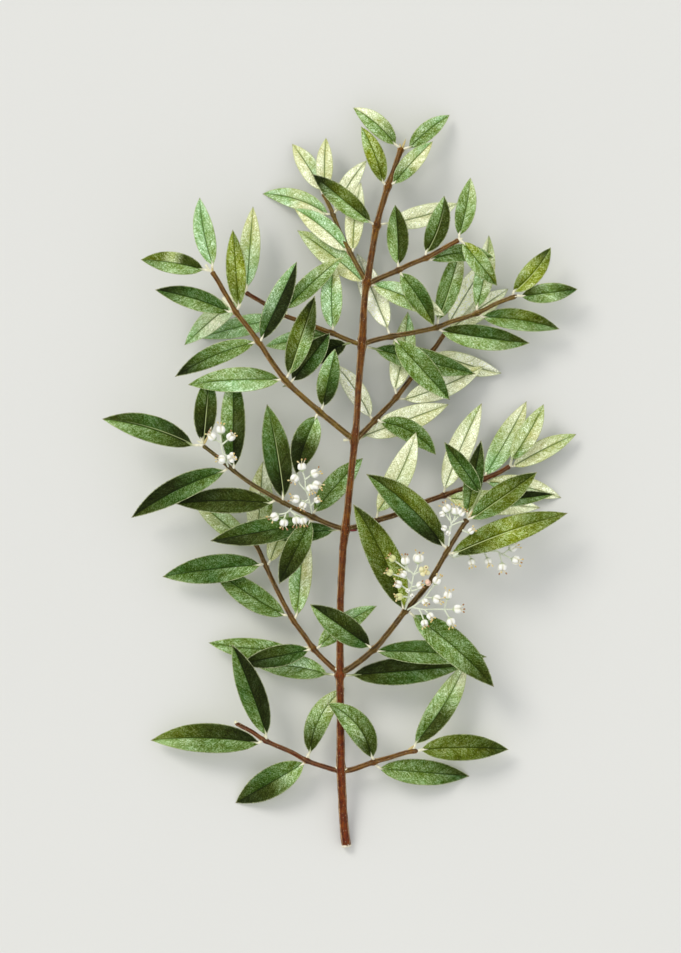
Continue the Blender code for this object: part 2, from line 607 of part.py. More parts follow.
def spray_b_third(material):
    solids = [
        flower([(405, 611, 28.5), (410, 608, 32), (415, 605, 33.6), (424, 598, 34.8), (428, 594, 35.2)],
                place=(437, 581, 36), faces=(0.5, 0.9, 0.2)),
        flower([(425, 597, 34.9)], place=(438, 598, 36), faces=(0.9, -0.3, 0.3)),
        flower([(422, 600, 34.6)], place=(425, 603, 35.8), faces=(0.3, -0.6, 0.7), size=0.75),
        flower([(412, 607, 32.8), (422, 609, 34), (434, 609, 34.8), (444, 609, 35.2)],
                place=(457.5, 608, 35.6), faces=(1.0, 0.1, 0.2), size=1.05),
        flower([(443, 609, 35.2)], place=(448, 596, 35.7), faces=(0.2, 1.0, 0.2)),
        flower([(443, 609, 35.2)], place=(450, 620.5, 35.7), faces=(0.4, -1.0, 0.2)),
        flower([(424, 609, 34.1)], place=(431, 616, 35.2), faces=(0.5, -0.7, 0.5), size=0.85),
        flower([(419, 608.5, 33.7)], place=(423.5, 620.5, 34.8), faces=(0.2, -0.9, 0.4), size=0.85),
    ]
    flower_spray("spray_b_right_third", solids, SHOOT_B_RIGHT, B_RIGHT_THICK, material)


def spray_b_fourth(material):
    solids = [
        flower([(448, 553, 33.2), (453, 557, 29.5), (460, 556, 28), (471, 553, 26.5), (484, 552, 25.5),
                 (496, 551, 25), (502, 554, 25)], place=(512.5, 547.5, 25), faces=(0.9, 0.5, 0.1)),
        flower([(501, 553.5, 25)], place=(515.5, 560, 25.4), faces=(0.9, -0.3, 0.3)),
        flower([(499, 552.5, 25)], place=(502, 567, 25.4), faces=(0.0, -1.0, 0.2)),
        flower([(484, 552, 25.5)], place=(488, 561, 26.6), faces=(0.3, -0.9, 0.3), size=0.85),
        flower([(468, 554, 26.8)], place=(471.5, 562, 28), faces=(0.1, -0.9, 0.3), size=0.85),
    ]
    flower_spray("spray_b_right_fourth", solids, SHOOT_B_RIGHT, B_RIGHT_THICK, material)


C_LEFT_THICK = (2.8, 1.9)
B_RIGHT_THICK = (3.2, 2.2)

clear_scene()
BRANCH = bpy.data.objects.new("branch", None)
bpy.context.scene.collection.objects.link(BRANCH)

bark = plain_material("bark", BARK_COLOUR, 0.7)
front_leaf = plain_material("front_leaf", FRONT_COLOUR, 0.5)
back_leaf = plain_material("back_leaf", BACK_COLOUR, 0.6)
petal = plain_material("petal", FLOWER_COLOUR, 0.5)

main_stem(bark)
leafy_shoot("shoot_a_left", SHOOT_A_LEFT, (2.4, 1.8), a_left_leaves, front_leaf)
leafy_shoot("shoot_a_right", SHOOT_A_RIGHT, (2.4, 1.8), a_right_leaves, front_leaf)
leafy_shoot("shoot_b_left", SHOOT_B_LEFT, (2.6, 1.8), b_left_leaves, back_leaf)
leafy_shoot("shoot_b_right", SHOOT_B_RIGHT, B_RIGHT_THICK, b_right_leaves, front_leaf)
leafy_shoot("shoot_c_left", SHOOT_C_LEFT, C_LEFT_THICK, c_left_leaves, front_leaf)
leafy_shoot("shoot_c_right", SHOOT_C_RIGHT, (2.6, 1.8), c_right_leaves, back_leaf)
leafy_shoot("shoot_d_left", SHOOT_D_LEFT, (3.0, 2.0), d_left_leaves, front_leaf)
leafy_shoot("shoot_d_right", SHOOT_D_RIGHT, (2.6, 1.8), d_right_leaves, back_leaf)
leafy_shoot("shoot_e_left", SHOOT_E_LEFT, (2.4, 1.8), e_left_leaves, back_leaf)
leafy_shoot("shoot_e_right", SHOOT_E_RIGHT, (2.7, 2.0), e_right_leaves, back_leaf)
leafy_shoot("shoot_f_left", SHOOT_F_LEFT, (2.4, 1.8), f_left_leaves, back_leaf)
leafy_shoot("shoot_f_right", SHOOT_F_RIGHT, (2.4, 1.8), f_right_leaves, front_leaf)
spray_c_end(petal)
spray_c_upper(petal)
spray_c_lower(petal)
spray_b_first(petal)
spray_b_second(petal)
spray_b_third(petal)
spray_b_fourth(petal)
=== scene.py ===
"""The looks of a flowering phillyrea branch: leaves, bark, flowers, floor, light and camera.

The branch lies on its back. Its places are marks on a grid of half-millimetres, as in its solids:
(mark across, mark down, height above the table in millimetres).
"""
import math
from typing import NamedTuple

import bpy
import numpy as np
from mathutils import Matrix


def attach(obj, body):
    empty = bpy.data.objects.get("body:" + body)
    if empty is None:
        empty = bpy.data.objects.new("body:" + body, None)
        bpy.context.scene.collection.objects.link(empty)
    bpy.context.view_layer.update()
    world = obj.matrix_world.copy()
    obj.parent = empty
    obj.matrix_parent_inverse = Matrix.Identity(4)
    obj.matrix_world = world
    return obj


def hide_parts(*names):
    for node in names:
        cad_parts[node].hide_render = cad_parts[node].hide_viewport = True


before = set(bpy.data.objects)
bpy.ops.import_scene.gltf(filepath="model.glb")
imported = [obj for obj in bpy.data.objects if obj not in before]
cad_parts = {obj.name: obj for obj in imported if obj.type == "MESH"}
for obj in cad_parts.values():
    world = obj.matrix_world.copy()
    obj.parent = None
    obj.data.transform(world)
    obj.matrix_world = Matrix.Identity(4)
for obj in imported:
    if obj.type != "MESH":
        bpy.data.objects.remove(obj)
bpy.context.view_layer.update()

MM = 0.001
MARK = 0.5 * MM
CENTRE_ACROSS = 340.0
CENTRE_DOWN = 478.0
UP = np.array((0.0, 0.0, 1.0))

# The photograph's frame, in marks, and the height above the table that its scale is true for
PHOTO_ACROSS = 681
PHOTO_DOWN = 953
MIDDLE_HEIGHT = 20 * MM

TWIG_SIDES = 20
STEM_SIDES = 32
TWIG_SPACING = 0.7 * MM
NODE_SWELLING = 0.2
NODE_LENGTH = 1.3 * MM
END_LENGTH = 1.2 * MM
# The raw wood at the cut: how far it reaches up the bark, and the hollow that the knife left
CUT_LENGTH = 2.4 * MM
CUT_HOLLOW = 0.5 * MM
CUT_SEED = 7

FOLD = 0.22
BLADE_SPACING = 0.6 * MM
BLADE_THICKNESS = 0.5 * MM
TOOTH = 0.08 * MM
WAVE_HEIGHT = 0.22 * MM
QUILT_HEIGHT = 0.09 * MM
# Millimetres between side veins, and how far back each runs for a millimetre outwards
VEIN_SPACING = 4.4
VEIN_SLANT = 1.15
MIDRIB_HEIGHT = 0.16 * MM
MIDRIB_REACH = 0.4 * MM
PETIOLE_RADIUS = 0.6 * MM
PETIOLE_WHITE = 3.2 * MM
PETIOLE_SIDES = 12
BUD_SIDES = 10
AXIL_BUD_RADIUS = 0.42 * MM
# Along the blade: how far from its base, and the width there as a share of the widest
BLADE_STATIONS = (
    (0.0, 0.11), (0.10, 0.57), (0.27, 0.91), (0.46, 1.0), (0.67, 0.85), (0.86, 0.45), (1.0, 0.0),
)
# Across the blade, from its right edge in to its midrib
HALF_ACROSS = (1.0, 0.95, 0.84, 0.68, 0.5, 0.32, 0.16, 0.06)

FLOWER_SIDES = 32
FLOWER_LENGTH = 4.0 * MM
STALK_RADIUS = 0.45 * MM
STALK_SIDES = 10
ANTHER_LENGTH = 1.15 * MM
ANTHER_RADIUS = 0.42 * MM
ANTHER_SIDES = 10
FILAMENT_RADIUS = 0.18 * MM
FILAMENT_SIDES = 8
# How far clefts cut into the calyx and the bell, and how far they draw lobes out; more on an open bell
CALYX_NOTCH, CALYX_REACH = 0.25, 0.12
BELL_NOTCH, BELL_REACH = 0.36, 0.16
OPEN_EXTRA = 0.2
# Flowers up to this size are closed and show no stamens
OPEN_SIZE = 0.72
STAMEN_LEANS = (-1.0, 0.15, 1.0)

# Where the random draws of the stem, the shoots and the sprays start
STEM_SEED = 100
SHOOT_SEED = 200
SPRAY_SEED = 600
SEED_STEP = 20

FLOOR_REACH = 30.0

# Colours as a painter would mix them, in 8-bit values. The leaf tones carry painted light and shade as
# well:
# a lit half of a leaf gets a lighter tone than its shaded half.
TONES = {
    # White is lighter than any leaf's own colour: painted light for leaves low in the shade of others
    "white": (250, 252, 226),
    "ivory": (232, 236, 196),
    "cream": (210, 214, 160),
    "pale": (180, 196, 136),
    "mint": (154, 190, 132),
    "light": (140, 168, 102),
    "leaf": (116, 144, 78),
    "green": (91, 117, 57),
    "sage": (62, 88, 40),
    "lime": (139, 156, 54),
    "moss": (96, 112, 40),
    "olive": (52, 64, 18),
    "dark": (28, 37, 5),
}
PALE_TONES = {"white", "ivory", "cream", "pale", "mint"}
UNDER_A_DARK_LEAF = "pale"
UNDER_A_PALE_LEAF = "green"
MIDRIB_TINT = (96, 130, 52)
# The painted highlight beside the midrib
MIDRIB_HIGHLIGHT_TINT = (206, 218, 150)
RIM_TINT = (196, 204, 152)
LEAF_TIP_TINT = (136, 124, 96)
PETIOLE_TINT = (234, 229, 202)
PETIOLE_END_TINT = (134, 146, 92)
RED_BARK = (118, 62, 42)
RUSSET_BARK = (98, 50, 28)
BROWN_BARK = (106, 74, 42)
UMBER_BARK = (84, 65, 32)
MOSSY_BARK = (78, 72, 34)
KHAKI_BARK = (110, 92, 50)
# Painted highlights on the bark: pale lines towards both edges
BARK_EDGE_HIGHLIGHT_TINT = (190, 160, 118)
# A painted highlight stripe on the bark's top line
TOP_HIGHLIGHT_TINT = (178, 150, 108)
CORK_TINT = (186, 158, 122)
WOOD_TINT = (228, 220, 196)
SCALE_TINT = (226, 222, 190)
TAN_TINT = (196, 178, 120)
MOSSY_TINT = (122, 126, 90)
STUB_TINT = (116, 40, 34)
PETAL_TINT = (244, 243, 236)
BUTTER_TINT = (232, 226, 178)
LEMON_TINT = (212, 216, 150)
PINK_TINT = (238, 196, 176)
# The clefts' darker tint: their own yellower colour with painted shade in the creases
CLEFT_TINT_AND_SHADE = (196, 190, 138)
CALYX_TINT = (196, 208, 166)
STALK_TINT = (214, 219, 196)
FILAMENT_TINT = (232, 222, 184)
ANTHER_TINTS = ((212, 184, 112), (222, 202, 142), (158, 116, 72))
TABLE_TINT = (216, 215, 210)


def linear(colour):
    """A colour given in 8-bit values, as the shader's own linear values."""
    shares = np.array(colour) / 255.0
    return np.append(np.where(shares <= 0.04045, shares / 12.92, ((shares + 0.055) / 1.055) ** 2.4), 1.0)


def at(across, down, height):
    """World place of a mark on the drawing, at a height in millimetres."""
    return np.array(((across - CENTRE_ACROSS) * MARK, (CENTRE_DOWN - down) * MARK, height * MM))


def unit(vectors):
    return vectors / np.linalg.norm(vectors, axis=-1, keepdims=True)


def square_to(headings):
    """The level side and the normal of each heading."""
    side = unit(np.cross(headings, UP))
    return side, np.cross(side, headings)


def smooth_run(places, spacing):
    """Evenly spaced points of a smooth curve through the places; further columns are carried along."""
    places = np.asarray(places, float)
    padded = np.vstack([2 * places[0] - places[1], places, 2 * places[-1] - places[-2]])
    t = np.linspace(0.0, 1.0, 12, endpoint=False)[:, None]
    fine = []
    for a, b, c, d in zip(padded, padded[1:], padded[2:], padded[3:]):
        bend = 2 * a - 5 * b + 4 * c - d
        twist = 3 * b - a - 3 * c + d
        fine.append(0.5 * (2 * b + (c - a) * t + bend * t ** 2 + twist * t ** 3))
    fine = np.vstack([*fine, places[-1:]])
    along = travelled(fine[:, :3])
    wanted = np.linspace(0.0, along[-1], max(4, round(along[-1] / spacing)))
    return np.column_stack([np.interp(wanted, along, column) for column in fine.T])


def travelled(places):
    """How far each place lies along the run, in metres."""
    steps = np.linalg.norm(np.diff(places, axis=0), axis=1)
    return np.concatenate([[0.0], np.cumsum(steps)])


def nearest_on(path, place):
    """The point of the path that lies nearest to the place in plan."""
    points = []
    for a, b in zip(path, path[1:]):
        run = (b - a)[:2]
        points.append(a + np.clip((place - a)[:2] @ run / (run @ run), 0.0, 1.0) * (b - a))
    return min(points, key=lambda point: np.linalg.norm((point - place)[:2]))


def round_rings(places, radii, sides):
    """Rings round a run, with a radius for each point of each ring or, in one column, for each ring."""
    side, normal = square_to(unit(np.gradient(places, axis=0)))
    angle = math.tau * np.arange(sides)[:, None] / sides
    outward = np.cos(angle) * side[:, None] + np.sin(angle) * normal[:, None]
    return places[:, None] + radii[..., None] * outward


def per_point(shape, *values):
    """Values for each point of a grid, side by side."""
    return np.stack([np.broadcast_to(value, shape) for value in values], axis=-1)


def blend(share, first, last):
    """Colours between two tints, from the first at a share of 0 to the last at 1."""
    return linear(first) + share[..., None] * (linear(last) - linear(first))


def add_object(name, data):
    made = bpy.data.objects.new(name, data)
    bpy.context.scene.collection.objects.link(made)
    return made


class Sheaf:
    """Gathers closed skins into one mesh, with the values that its material reads at each point."""

    def __init__(self):
        self.places = []
        self.faces = []
        self.values = {}
        self.count = 0

    def skin(self, rings, tip=None, **values):
        """A closed skin through rings of equal count, with values for all of it or for each ring point."""
        stations, around, _ = rings.shape
        grid = np.arange(stations * around).reshape(stations, around) + self.count
        ahead = np.roll(grid, -1, axis=1)
        quads = np.stack([grid[:-1], grid[1:], ahead[1:], ahead[:-1]], axis=-1)
        self.faces.extend(quads.reshape(-1, 4).tolist())
        self.faces.append(grid[0].tolist())
        places = rings.reshape(-1, 3)
        if tip is None:
            self.faces.append(grid[-1][::-1].tolist())
        else:
            point = self.count + stations * around
            self.faces.extend([a, point, b] for a, b in zip(grid[-1].tolist(), ahead[-1].tolist()))
            places = np.vstack([places, tip])
        for name, value in values.items():
            shape = (stations, around, value.shape[-1])
            table = np.broadcast_to(value, shape).reshape(stations * around, -1)
            if tip is not None:
                table = np.vstack([table, table[-around]])
            self.values.setdefault(name, []).append(table)
        self.places.append(places)
        self.count += len(places)

    def tube(self, places, radii, sides, tip=None, **values):
        """A skin of round rings along a run, with one radius for each."""
        self.skin(round_rings(places, np.reshape(radii, (-1, 1)), sides), tip, **values)

    def piece(self, name, material, slot, node):
        """Makes the mesh and its object, riding on the branch in place of the node."""
        mesh = bpy.data.meshes.new(name)
        places = np.vstack(self.places)
        places[:, 2] = np.maximum(places[:, 2], 0.0)
        mesh.from_pydata(places.tolist(), [], self.faces)
        kinds = {1: ("FLOAT", "value"), 3: ("FLOAT_VECTOR", "vector"), 4: ("FLOAT_COLOR", "color")}
        for key, tables in self.values.items():
            table = np.vstack(tables).astype(np.float32)
            kind, field = kinds[table.shape[1]]
            mesh.attributes.new(key, kind, "POINT").data.foreach_set(field, table.ravel())
        mesh.materials.append(material)
        mesh.shade_smooth()
        thing = add_object(name, mesh)
        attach(thing, "root")
        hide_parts(node)


class Wire:
    """A node's output. Sums and products of it add the nodes that work them out."""

    def __init__(self, shader, socket):
        self.shader = shader
        self.socket = socket

    def __add__(self, other):
        return self.shader.math("ADD", self, other)

    def __sub__(self, other):
        return self.shader.math("SUBTRACT", self, other)

    def __mul__(self, other):
        return self.shader.math("MULTIPLY", self, other)

    def __truediv__(self, other):
        return self.shader.math("DIVIDE", self, other)

    def __abs__(self):
        return self.shader.math("ABSOLUTE", self)


class Shader:
    """A node material, with short calls for the nodes that it needs."""

    def __init__(self, name):
        self.material = bpy.data.materials.new(name)
        self.material.use_nodes = True
        self.tree = self.material.node_tree
        self.surface = self.tree.nodes["Principled BSDF"].inputs

    def feed(self, socket, value):
        if isinstance(value, Wire):
            self.tree.links.new(value.socket, socket)
        else:
            socket.default_value = value

    def node(self, kind, inputs=(), output=0, **settings):
        """Adds a node with its settings and its inputs, by name or number, and gives one of its outputs."""
        made = self.tree.nodes.new("ShaderNode" + kind)
        for key, value in settings.items():
            setattr(made, key, value)
        for key, value in dict(inputs).items():
            self.feed(made.inputs[key], value)
        return Wire(self, made.outputs[output])

    def value(self, name, output="Color"):
        """A value that the mesh holds at each point."""
        return self.node("Attribute", output=output, attribute_name=name)

    def numbers(self, name):
        """The three numbers of a value that the mesh holds at each point."""
        value = self.value(name, "Vector")
        return [self.node("SeparateXYZ", {0: value}, axis) for axis in range(3)]

    def place(self):
        return self.node("TexCoord", output="Object")

    def join(self, x, y, z):
        return self.node("CombineXYZ", enumerate((x, y, z)))

    def math(self, operation, *values):
        return self.node("Math", enumerate(values), operation=operation)

    def span(self, value, low, high, first=0.0, last=1.0):
        """Eases from first to last as the value goes from low to high."""
        limits = enumerate((value, low, high, first, last))
        return self.node("MapRange", limits, interpolation_type="SMOOTHSTEP")

    def mix(self, share, first, second):
        return self.node("Mix", {0: share, 6: first, 7: second}, 2, data_type="RGBA")

    def noise(self, place, scale, detail=3.0, roughness=0.6):
        inputs = {"Vector": place, "Scale": scale, "Detail": detail, "Roughness": roughness}
        return self.node("TexNoise", inputs)

    def cells(self, place, scale, feature="DISTANCE_TO_EDGE"):
        return self.node("TexVoronoi", {"Vector": place, "Scale": scale}, "Distance", feature=feature)

    def shift(self, colour, hue=0.5, saturation=1.0, value=1.0):
        inputs = {"Hue": hue, "Saturation": saturation, "Value": value, "Color": colour}
        return self.node("HueSaturation", inputs)

    def total(self, *terms):
        """The weighted sum of (texture, weight) pairs, each texture counted from one half."""
        total = None
        for texture, weight in terms:
            part = (texture - 0.5) * weight
            total = part if total is None else total + part
        return total

    def finish(self, colour, roughness, height, depth):
        """Wires the colour and roughness, and the height map as a bump of the depth given in metres."""
        bump = self.node("Bump", {"Distance": depth, "Height": height})
        for name, value in (("Base Color", colour), ("Roughness", roughness), ("Normal", bump)):
            self.feed(self.surface[name], value)
        return self.material


# How fine the leaf's textures are: spots to a metre, and for bands and strokes to a millimetre
MOTTLE_SCALE = 260.0
STIPPLE_SCALE = 2400.0
GRAIN_SCALE = 1400.0
NET_SCALE = 1300.0
BAND_SCALE = 0.34
STROKE_SCALE = 1.9
# Lines on the blade: how far from its middle each one starts and where it is full, in millimetres
VEIN_LINE = (0.32, 0.08)
# The midrib line is darkened as painted shade of its groove
MIDRIB_SHADE_LINE = (0.44, 0.18)
RIM_LINE = (0.55, 0.2)


def side_vein(s, slanted, mottle, seed, right, edge, out):
    """1 on a side vein, fading towards the leaf's edge and its midrib."""
    phase = (slanted + (mottle - 0.5) * 2.4) / VEIN_SPACING + seed + right * 0.5
    off_vein = s.math("PINGPONG", phase, 0.5) * VEIN_SPACING
    return s.span(off_vein, *VEIN_LINE) * s.span(edge, 0.3, 1.6) * s.span(out, 0.2, 0.8)


def leaf_material():
    """Leathery leaf: each half with painted light and shade, stippled and stroked along its side veins,
    with a midrib darkened as painted shade.
    """
    s = Shader("leaf")
    along, across, edge = s.numbers("blade")
    share, seed, rib = s.numbers("leaf")
    out = abs(across)
    right = s.span(across, -0.08, 0.08)
    # Each half's tone is its own colour with painted light or shade: a lit half lighter, a shaded half
    # darker
    tone = s.mix(right, s.value("left_tone"), s.value("right_tone"))
    bright = s.node("RGBToBW", {0: tone})

    own = seed * 7.3 + right * 3.7
    slanted = along - out * VEIN_SLANT
    mottle = s.noise(s.place(), MOTTLE_SCALE)
    stipple = s.noise(s.place(), STIPPLE_SCALE, 2.0, 0.8)
    grain = s.noise(s.place(), GRAIN_SCALE, 1.0, 0.5)
    net = s.cells(s.place(), NET_SCALE)
    bands = s.noise(s.join(along * 0.4, across, own), BAND_SCALE)
    shade_slope = s.noise(s.join(along * 0.06, own, own), 1.0, 1.0)
    strokes = s.noise(s.join(slanted, out * 0.16, own), STROKE_SCALE, 3.0, 0.7)
    vein = side_vein(s, slanted, mottle, seed, right, edge, out)

    # Lightness in powers of two: texture, and painted shade across each half (a random slope of light,
    # darker next to the midrib and towards the margin), all softer on a pale leaf
    steep = out / s.math("MAXIMUM", out + edge, 0.1)
    light = s.total((mottle, 1.2), (bands, 3.0), (stipple, 8.0), (grain, 3.0), (strokes, 3.8))
    # The slope term paints a random slope of light and shade across each half
    light = light + s.span(net, 0.0, 0.25, -0.14, 0.08) + (steep - 0.5) * s.total((shade_slope, 7.0)) - vein * 0.6
    # Painted shade: darker next to the midrib here, and towards the margin on the next line
    light = light * s.span(bright, 0.1, 0.7, 1.0, 0.42) + s.span(out, 0.1, 1.5, -0.2, 0.08)
    light = light + s.span(edge, 0.0, 1.2, -0.36, 0.04) * s.span(bright, 0.1, 0.5, 1.0, 0.1)
    hue = s.total((mottle, 0.06), (bands, 0.03)) + 0.496
    # Lighter parts lose colour, as painted highlights do
    vivid = s.span(bright, 0.02, 0.2, 1.16, 1.04) - light * s.span(bright, 0.1, 0.7, 0.28, 0.7)
    value = s.math("MINIMUM", s.math("POWER", 2.0, light), 2.6)
    colour = s.shift(tone, hue, s.math("MAXIMUM", vivid, 0.3), value)

    # The midrib, greener and darkened as painted shade of its groove, the painted highlight beside it,
    # the broken pale rim and the dry tip
    line = s.span(out, *MIDRIB_SHADE_LINE) * s.span(share, 0.95, 0.7, 0.4, 0.9)
    greener = s.mix(s.span(bright, 0.08, 0.6, 0.0, 0.7), tone, linear(MIDRIB_TINT))
    colour = s.mix(line, colour, s.shift(greener, 0.5, 1.2, s.span(bright, 0.1, 0.7, 0.33, 0.52)))
    # A painted highlight beside the midrib, on its right, as strong as the leaf's rib value
    midrib_highlight = s.span(across, 0.24, 0.4) * s.span(across, 0.85, 0.5) * s.span(share, 0.35, 0.8, 1.0, 0.1)
    colour = s.mix(midrib_highlight * rib, colour, linear(MIDRIB_HIGHLIGHT_TINT))
    rim = s.span(edge, *RIM_LINE) * s.span(strokes + s.total((stipple, 0.8)), 0.42, 0.58, 0.15, 0.85)
    colour = s.mix(rim, colour, linear(RIM_TINT))
    colour = s.mix(s.span(share, 0.955, 1.0, 0.0, 0.6), colour, linear(LEAF_TIP_TINT))

    height = s.total((stipple, 0.6), (strokes, 0.5)) + s.span(net, 0.0, 0.3, 0.0, 0.25) - vein * 0.5
    s.surface["Specular IOR Level"].default_value = 0.07
    return s.finish(colour, s.span(stipple, 0.3, 0.7, 0.4, 0.6), height, 0.14 * MM)


def bark_material():
    """Smooth thin bark: dark streaks, corky dots and a raw cut, with painted light: lighter along a line on
    top with a highlight stripe, darker round the flanks, and highlight lines towards both edges.
    """
    s = Shader("bark")
    along, around, radius = s.numbers("bark")
    turn = around * math.tau
    x = s.math("COSINE", turn) * radius
    y = s.math("SINE", turn) * radius
    streaks = s.noise(s.join(x, y, along * 0.12), 1.6, 3.0, 0.7)
    patches = s.noise(s.join(x, y, along), 0.3)
    grain = s.noise(s.place(), 1700.0, 3.0, 0.7)
    dot = s.span(s.cells(s.join(x, y, along * 0.6), 0.75, "F1"), 0.2, 0.1)

    # A wandering line near the top of the bark, where light is painted
    wander = s.noise(s.join(0.0, s.value("tint", "Fac"), along * 0.06), 1.0, 1.0)
    lit_line = s.total((wander, 0.5)) + 0.25
    off_lit_line = abs(around - lit_line) + s.total((streaks, 0.12))
    light = s.total((streaks, 2.6), (patches, 1.1), (grain, 2.4))
    # Painted light: lighter along the top line, darker round the flanks
    light = light + s.span(off_lit_line, 0.04, 0.16, 0.74, 0.56)
    hue = s.total((patches, 0.06)) + 0.5
    colour = s.shift(s.value("tint"), hue, 1.2, s.math("MAXIMUM", light, 0.3))
    # Painted highlights: pale lines towards both edges, broken by the patches and grain
    left_highlight = s.span(abs(around - 0.42), 0.05, 0.02)
    right_highlight = s.span(abs(around - 0.08), 0.05, 0.02, 0.0, 0.8)
    pale = s.math("MAXIMUM", left_highlight, right_highlight)
    pale = pale * s.span(patches, 0.35, 0.6, 0.3, 0.95) * s.span(grain, 0.3, 0.55, 0.5, 1.0)
    colour = s.mix(pale, colour, linear(BARK_EDGE_HIGHLIGHT_TINT))
    # A painted highlight stripe along the top line, strongest on thin twigs
    top_highlight = s.span(off_lit_line, 0.07, 0.03) * s.span(radius, 1.4, 2.0, 0.16, 0.03)
    colour = s.mix(top_highlight, colour, linear(TOP_HIGHLIGHT_TINT))
    colour = s.mix(dot * 0.5, colour, linear(CORK_TINT))
    torn = s.value("cut", "Fac") + s.total((streaks, 1.6), (grain, 0.6))
    wood = s.shift(linear(WOOD_TINT), value=s.total((grain, 0.9)) + 1.0)
    colour = s.mix(s.span(torn, 0.42, 0.56), colour, wood)

    s.surface["Specular IOR Level"].default_value = 0.2
    height = s.total((streaks, 1.4), (grain, 0.5)) + dot * 0.5
    return s.finish(colour, s.span(streaks, 0.3, 0.7, 0.5, 0.72), height, 0.2 * MM)


def fleshy_material(name, scale, depth, roughness, spread):
    """A soft plant surface with the mesh's own tint, gently mottled: petals, stalks, stamens."""
    s = Shader(name)
    patches = s.noise(s.place(), scale)
    grain = s.noise(s.place(), 5.0 * scale, 3.0, 0.7)
    colour = s.shift(s.value("tint"), value=s.total((patches, spread), (grain, spread)) + 1.0)
    height = s.total((patches, 0.8), (grain, 0.6))
    s.surface["Subsurface Weight"].default_value = 0.12
    s.surface["Subsurface Radius"].default_value = (0.9, 0.9, 0.6)
    s.surface["Subsurface Scale"].default_value = 0.8 * MM
    return s.finish(colour, s.span(grain, 0.3, 0.7, roughness, roughness + 0.15), height, depth)


def floor_material():
    """A plain pale tabletop, matt, with the faintest unevenness."""
    s = Shader("tabletop")
    patches = s.noise(s.place(), 9.0, 2.0)
    grain = s.noise(s.place(), 700.0)
    colour = s.shift(linear(TABLE_TINT), value=s.total((patches, 0.02), (grain, 0.02)) + 1.0)
    return s.finish(colour, s.span(grain, 0.3, 0.7, 0.65, 0.75), grain, 0.02 * MM)


class Leaf(NamedTuple):
    """A leaf's tip, its blade's base, its width in millimetres and the tones left and right of its midrib.

    A half has one tone, or tones that follow each other from base to tip; the tones carry painted light and
    shade, a lit half lighter than a shaded one. Arch and bow bend the midrib upwards and sideways, in
    millimetres; rib is how bright a painted highlight lies beside the midrib.
    """
    tip: tuple
    base: tuple
    width: float
    left: str
    right: str
    arch: float = 1.0
    bow: float = 0.0
    root: tuple = None
    rib: float = 0.0


class Flower(NamedTuple):
    """The marks of its stalk, the middle of its bell, the way its mouth faces, its size and its tint.

    Spread is how far its lobes stand open.
    """
    stalk: list
    place: tuple
    faces: tuple
    size: float = 1.0
    tint: tuple = PETAL_TINT
    spread: float = 0.0


class Bud(NamedTuple):
    """A bud or scale standing out of the bark, or the blunt stub of a leaf stalk, with a width in mm."""
    foot: tuple
    tip: tuple
    width: float = 1.1
    tint: tuple = SCALE_TINT
    blunt: bool = False


class Shoot(NamedTuple):
    """A twig's run, its thickness at both ends in millimetres, its bark at both ends, and its leaves."""
    run: tuple
    thick: tuple
    barks: tuple
    leaves: tuple


# The main stem: mark across, mark down, height and diameter in millimetres
STEM_RUN = (
    (346.5, 847.8, 2.24, 4.8),
    (343.5, 820.0, 5.6, 4.4),
    (341.5, 780.0, 10.4, 4.5),
    (341.0, 770.0, 11.6, 5.0),
    (340.7, 758.0, 12.8, 4.4),
    (340.5, 720.0, 16.4, 3.9),
    (340.0, 684.0, 19.0, 3.9),
    (340.0, 673.0, 19.6, 4.4),
    (340.0, 660.0, 20.4, 3.8),
    (340.5, 600.0, 23.2, 3.6),
    (343.0, 550.0, 25.2, 3.8),
    (345.5, 528.0, 26.0, 4.5),
    (347.0, 514.0, 26.4, 3.7),
    (351.5, 470.0, 27.3, 3.5),
    (354.0, 448.0, 27.5, 3.6),
    (354.5, 437.0, 27.5, 4.2),
    (356.5, 422.0, 27.4, 3.4),
    (359.0, 380.0, 26.6, 3.4),
    (362.0, 343.0, 25.5, 4.0),
    (364.5, 300.0, 24.0, 3.3),
    (367.0, 283.0, 23.2, 3.9),
    (369.5, 268.0, 22.4, 3.3),
    (373.5, 243.0, 21.1, 3.2),
    (376.0, 229.0, 20.4, 3.6),
    (379.5, 214.0, 19.5, 3.0),
    (388.0, 186.0, 17.6, 3.3),
    (393.0, 172.0, 16.8, 2.6),
    (400.5, 150.5, 15.5, 2.7),
    (402.0, 146.5, 15.3, 1.6),
)

SHOOT_A_LEFT = ((340.5, 772, 11.6), (327.5, 768, 12.2), (308.5, 761.7, 13.5), (289.5, 751.5, 14.5),
                (266, 741.2, 16), (252, 732, 16.8), (235, 723, 17.5))
SHOOT_A_RIGHT = ((341, 771, 11.6), (352, 770, 12), (371, 763.2, 13.2), (390, 757.6, 14.5),
                 (409, 752, 16), (418, 751, 16.5))
SHOOT_B_LEFT = ((339.5, 674, 19.6), (329.3, 664.8, 18.5), (315.2, 650.8, 17), (302.2, 632.8, 15.8),
                (292.5, 619.4, 15), (283, 602, 13.8), (275.3, 586.8, 12.8), (265.5, 565.7, 11.5),
                (259.5, 551.7, 10.5), (253.5, 540.6, 9.8))
SHOOT_B_RIGHT = ((340, 673.5, 19.6), (352.5, 666.5, 21), (373.5, 649.5, 23.5), (388.5, 632.5, 26),
                 (403.3, 613.3, 28.5), (425, 588, 31), (435, 572, 32), (447, 551, 33.5),
                 (455, 538, 34.2), (467, 519, 35))
SHOOT_C_LEFT = ((345, 529.5, 26), (329.5, 524.2, 27), (312.5, 516.8, 28.3), (290, 506, 29.3),
                (270, 494.8, 30.2), (250.5, 483.2, 31.2), (230.5, 468, 32.2), (215.5, 455.2, 33),
                (203, 445.5, 33.8))
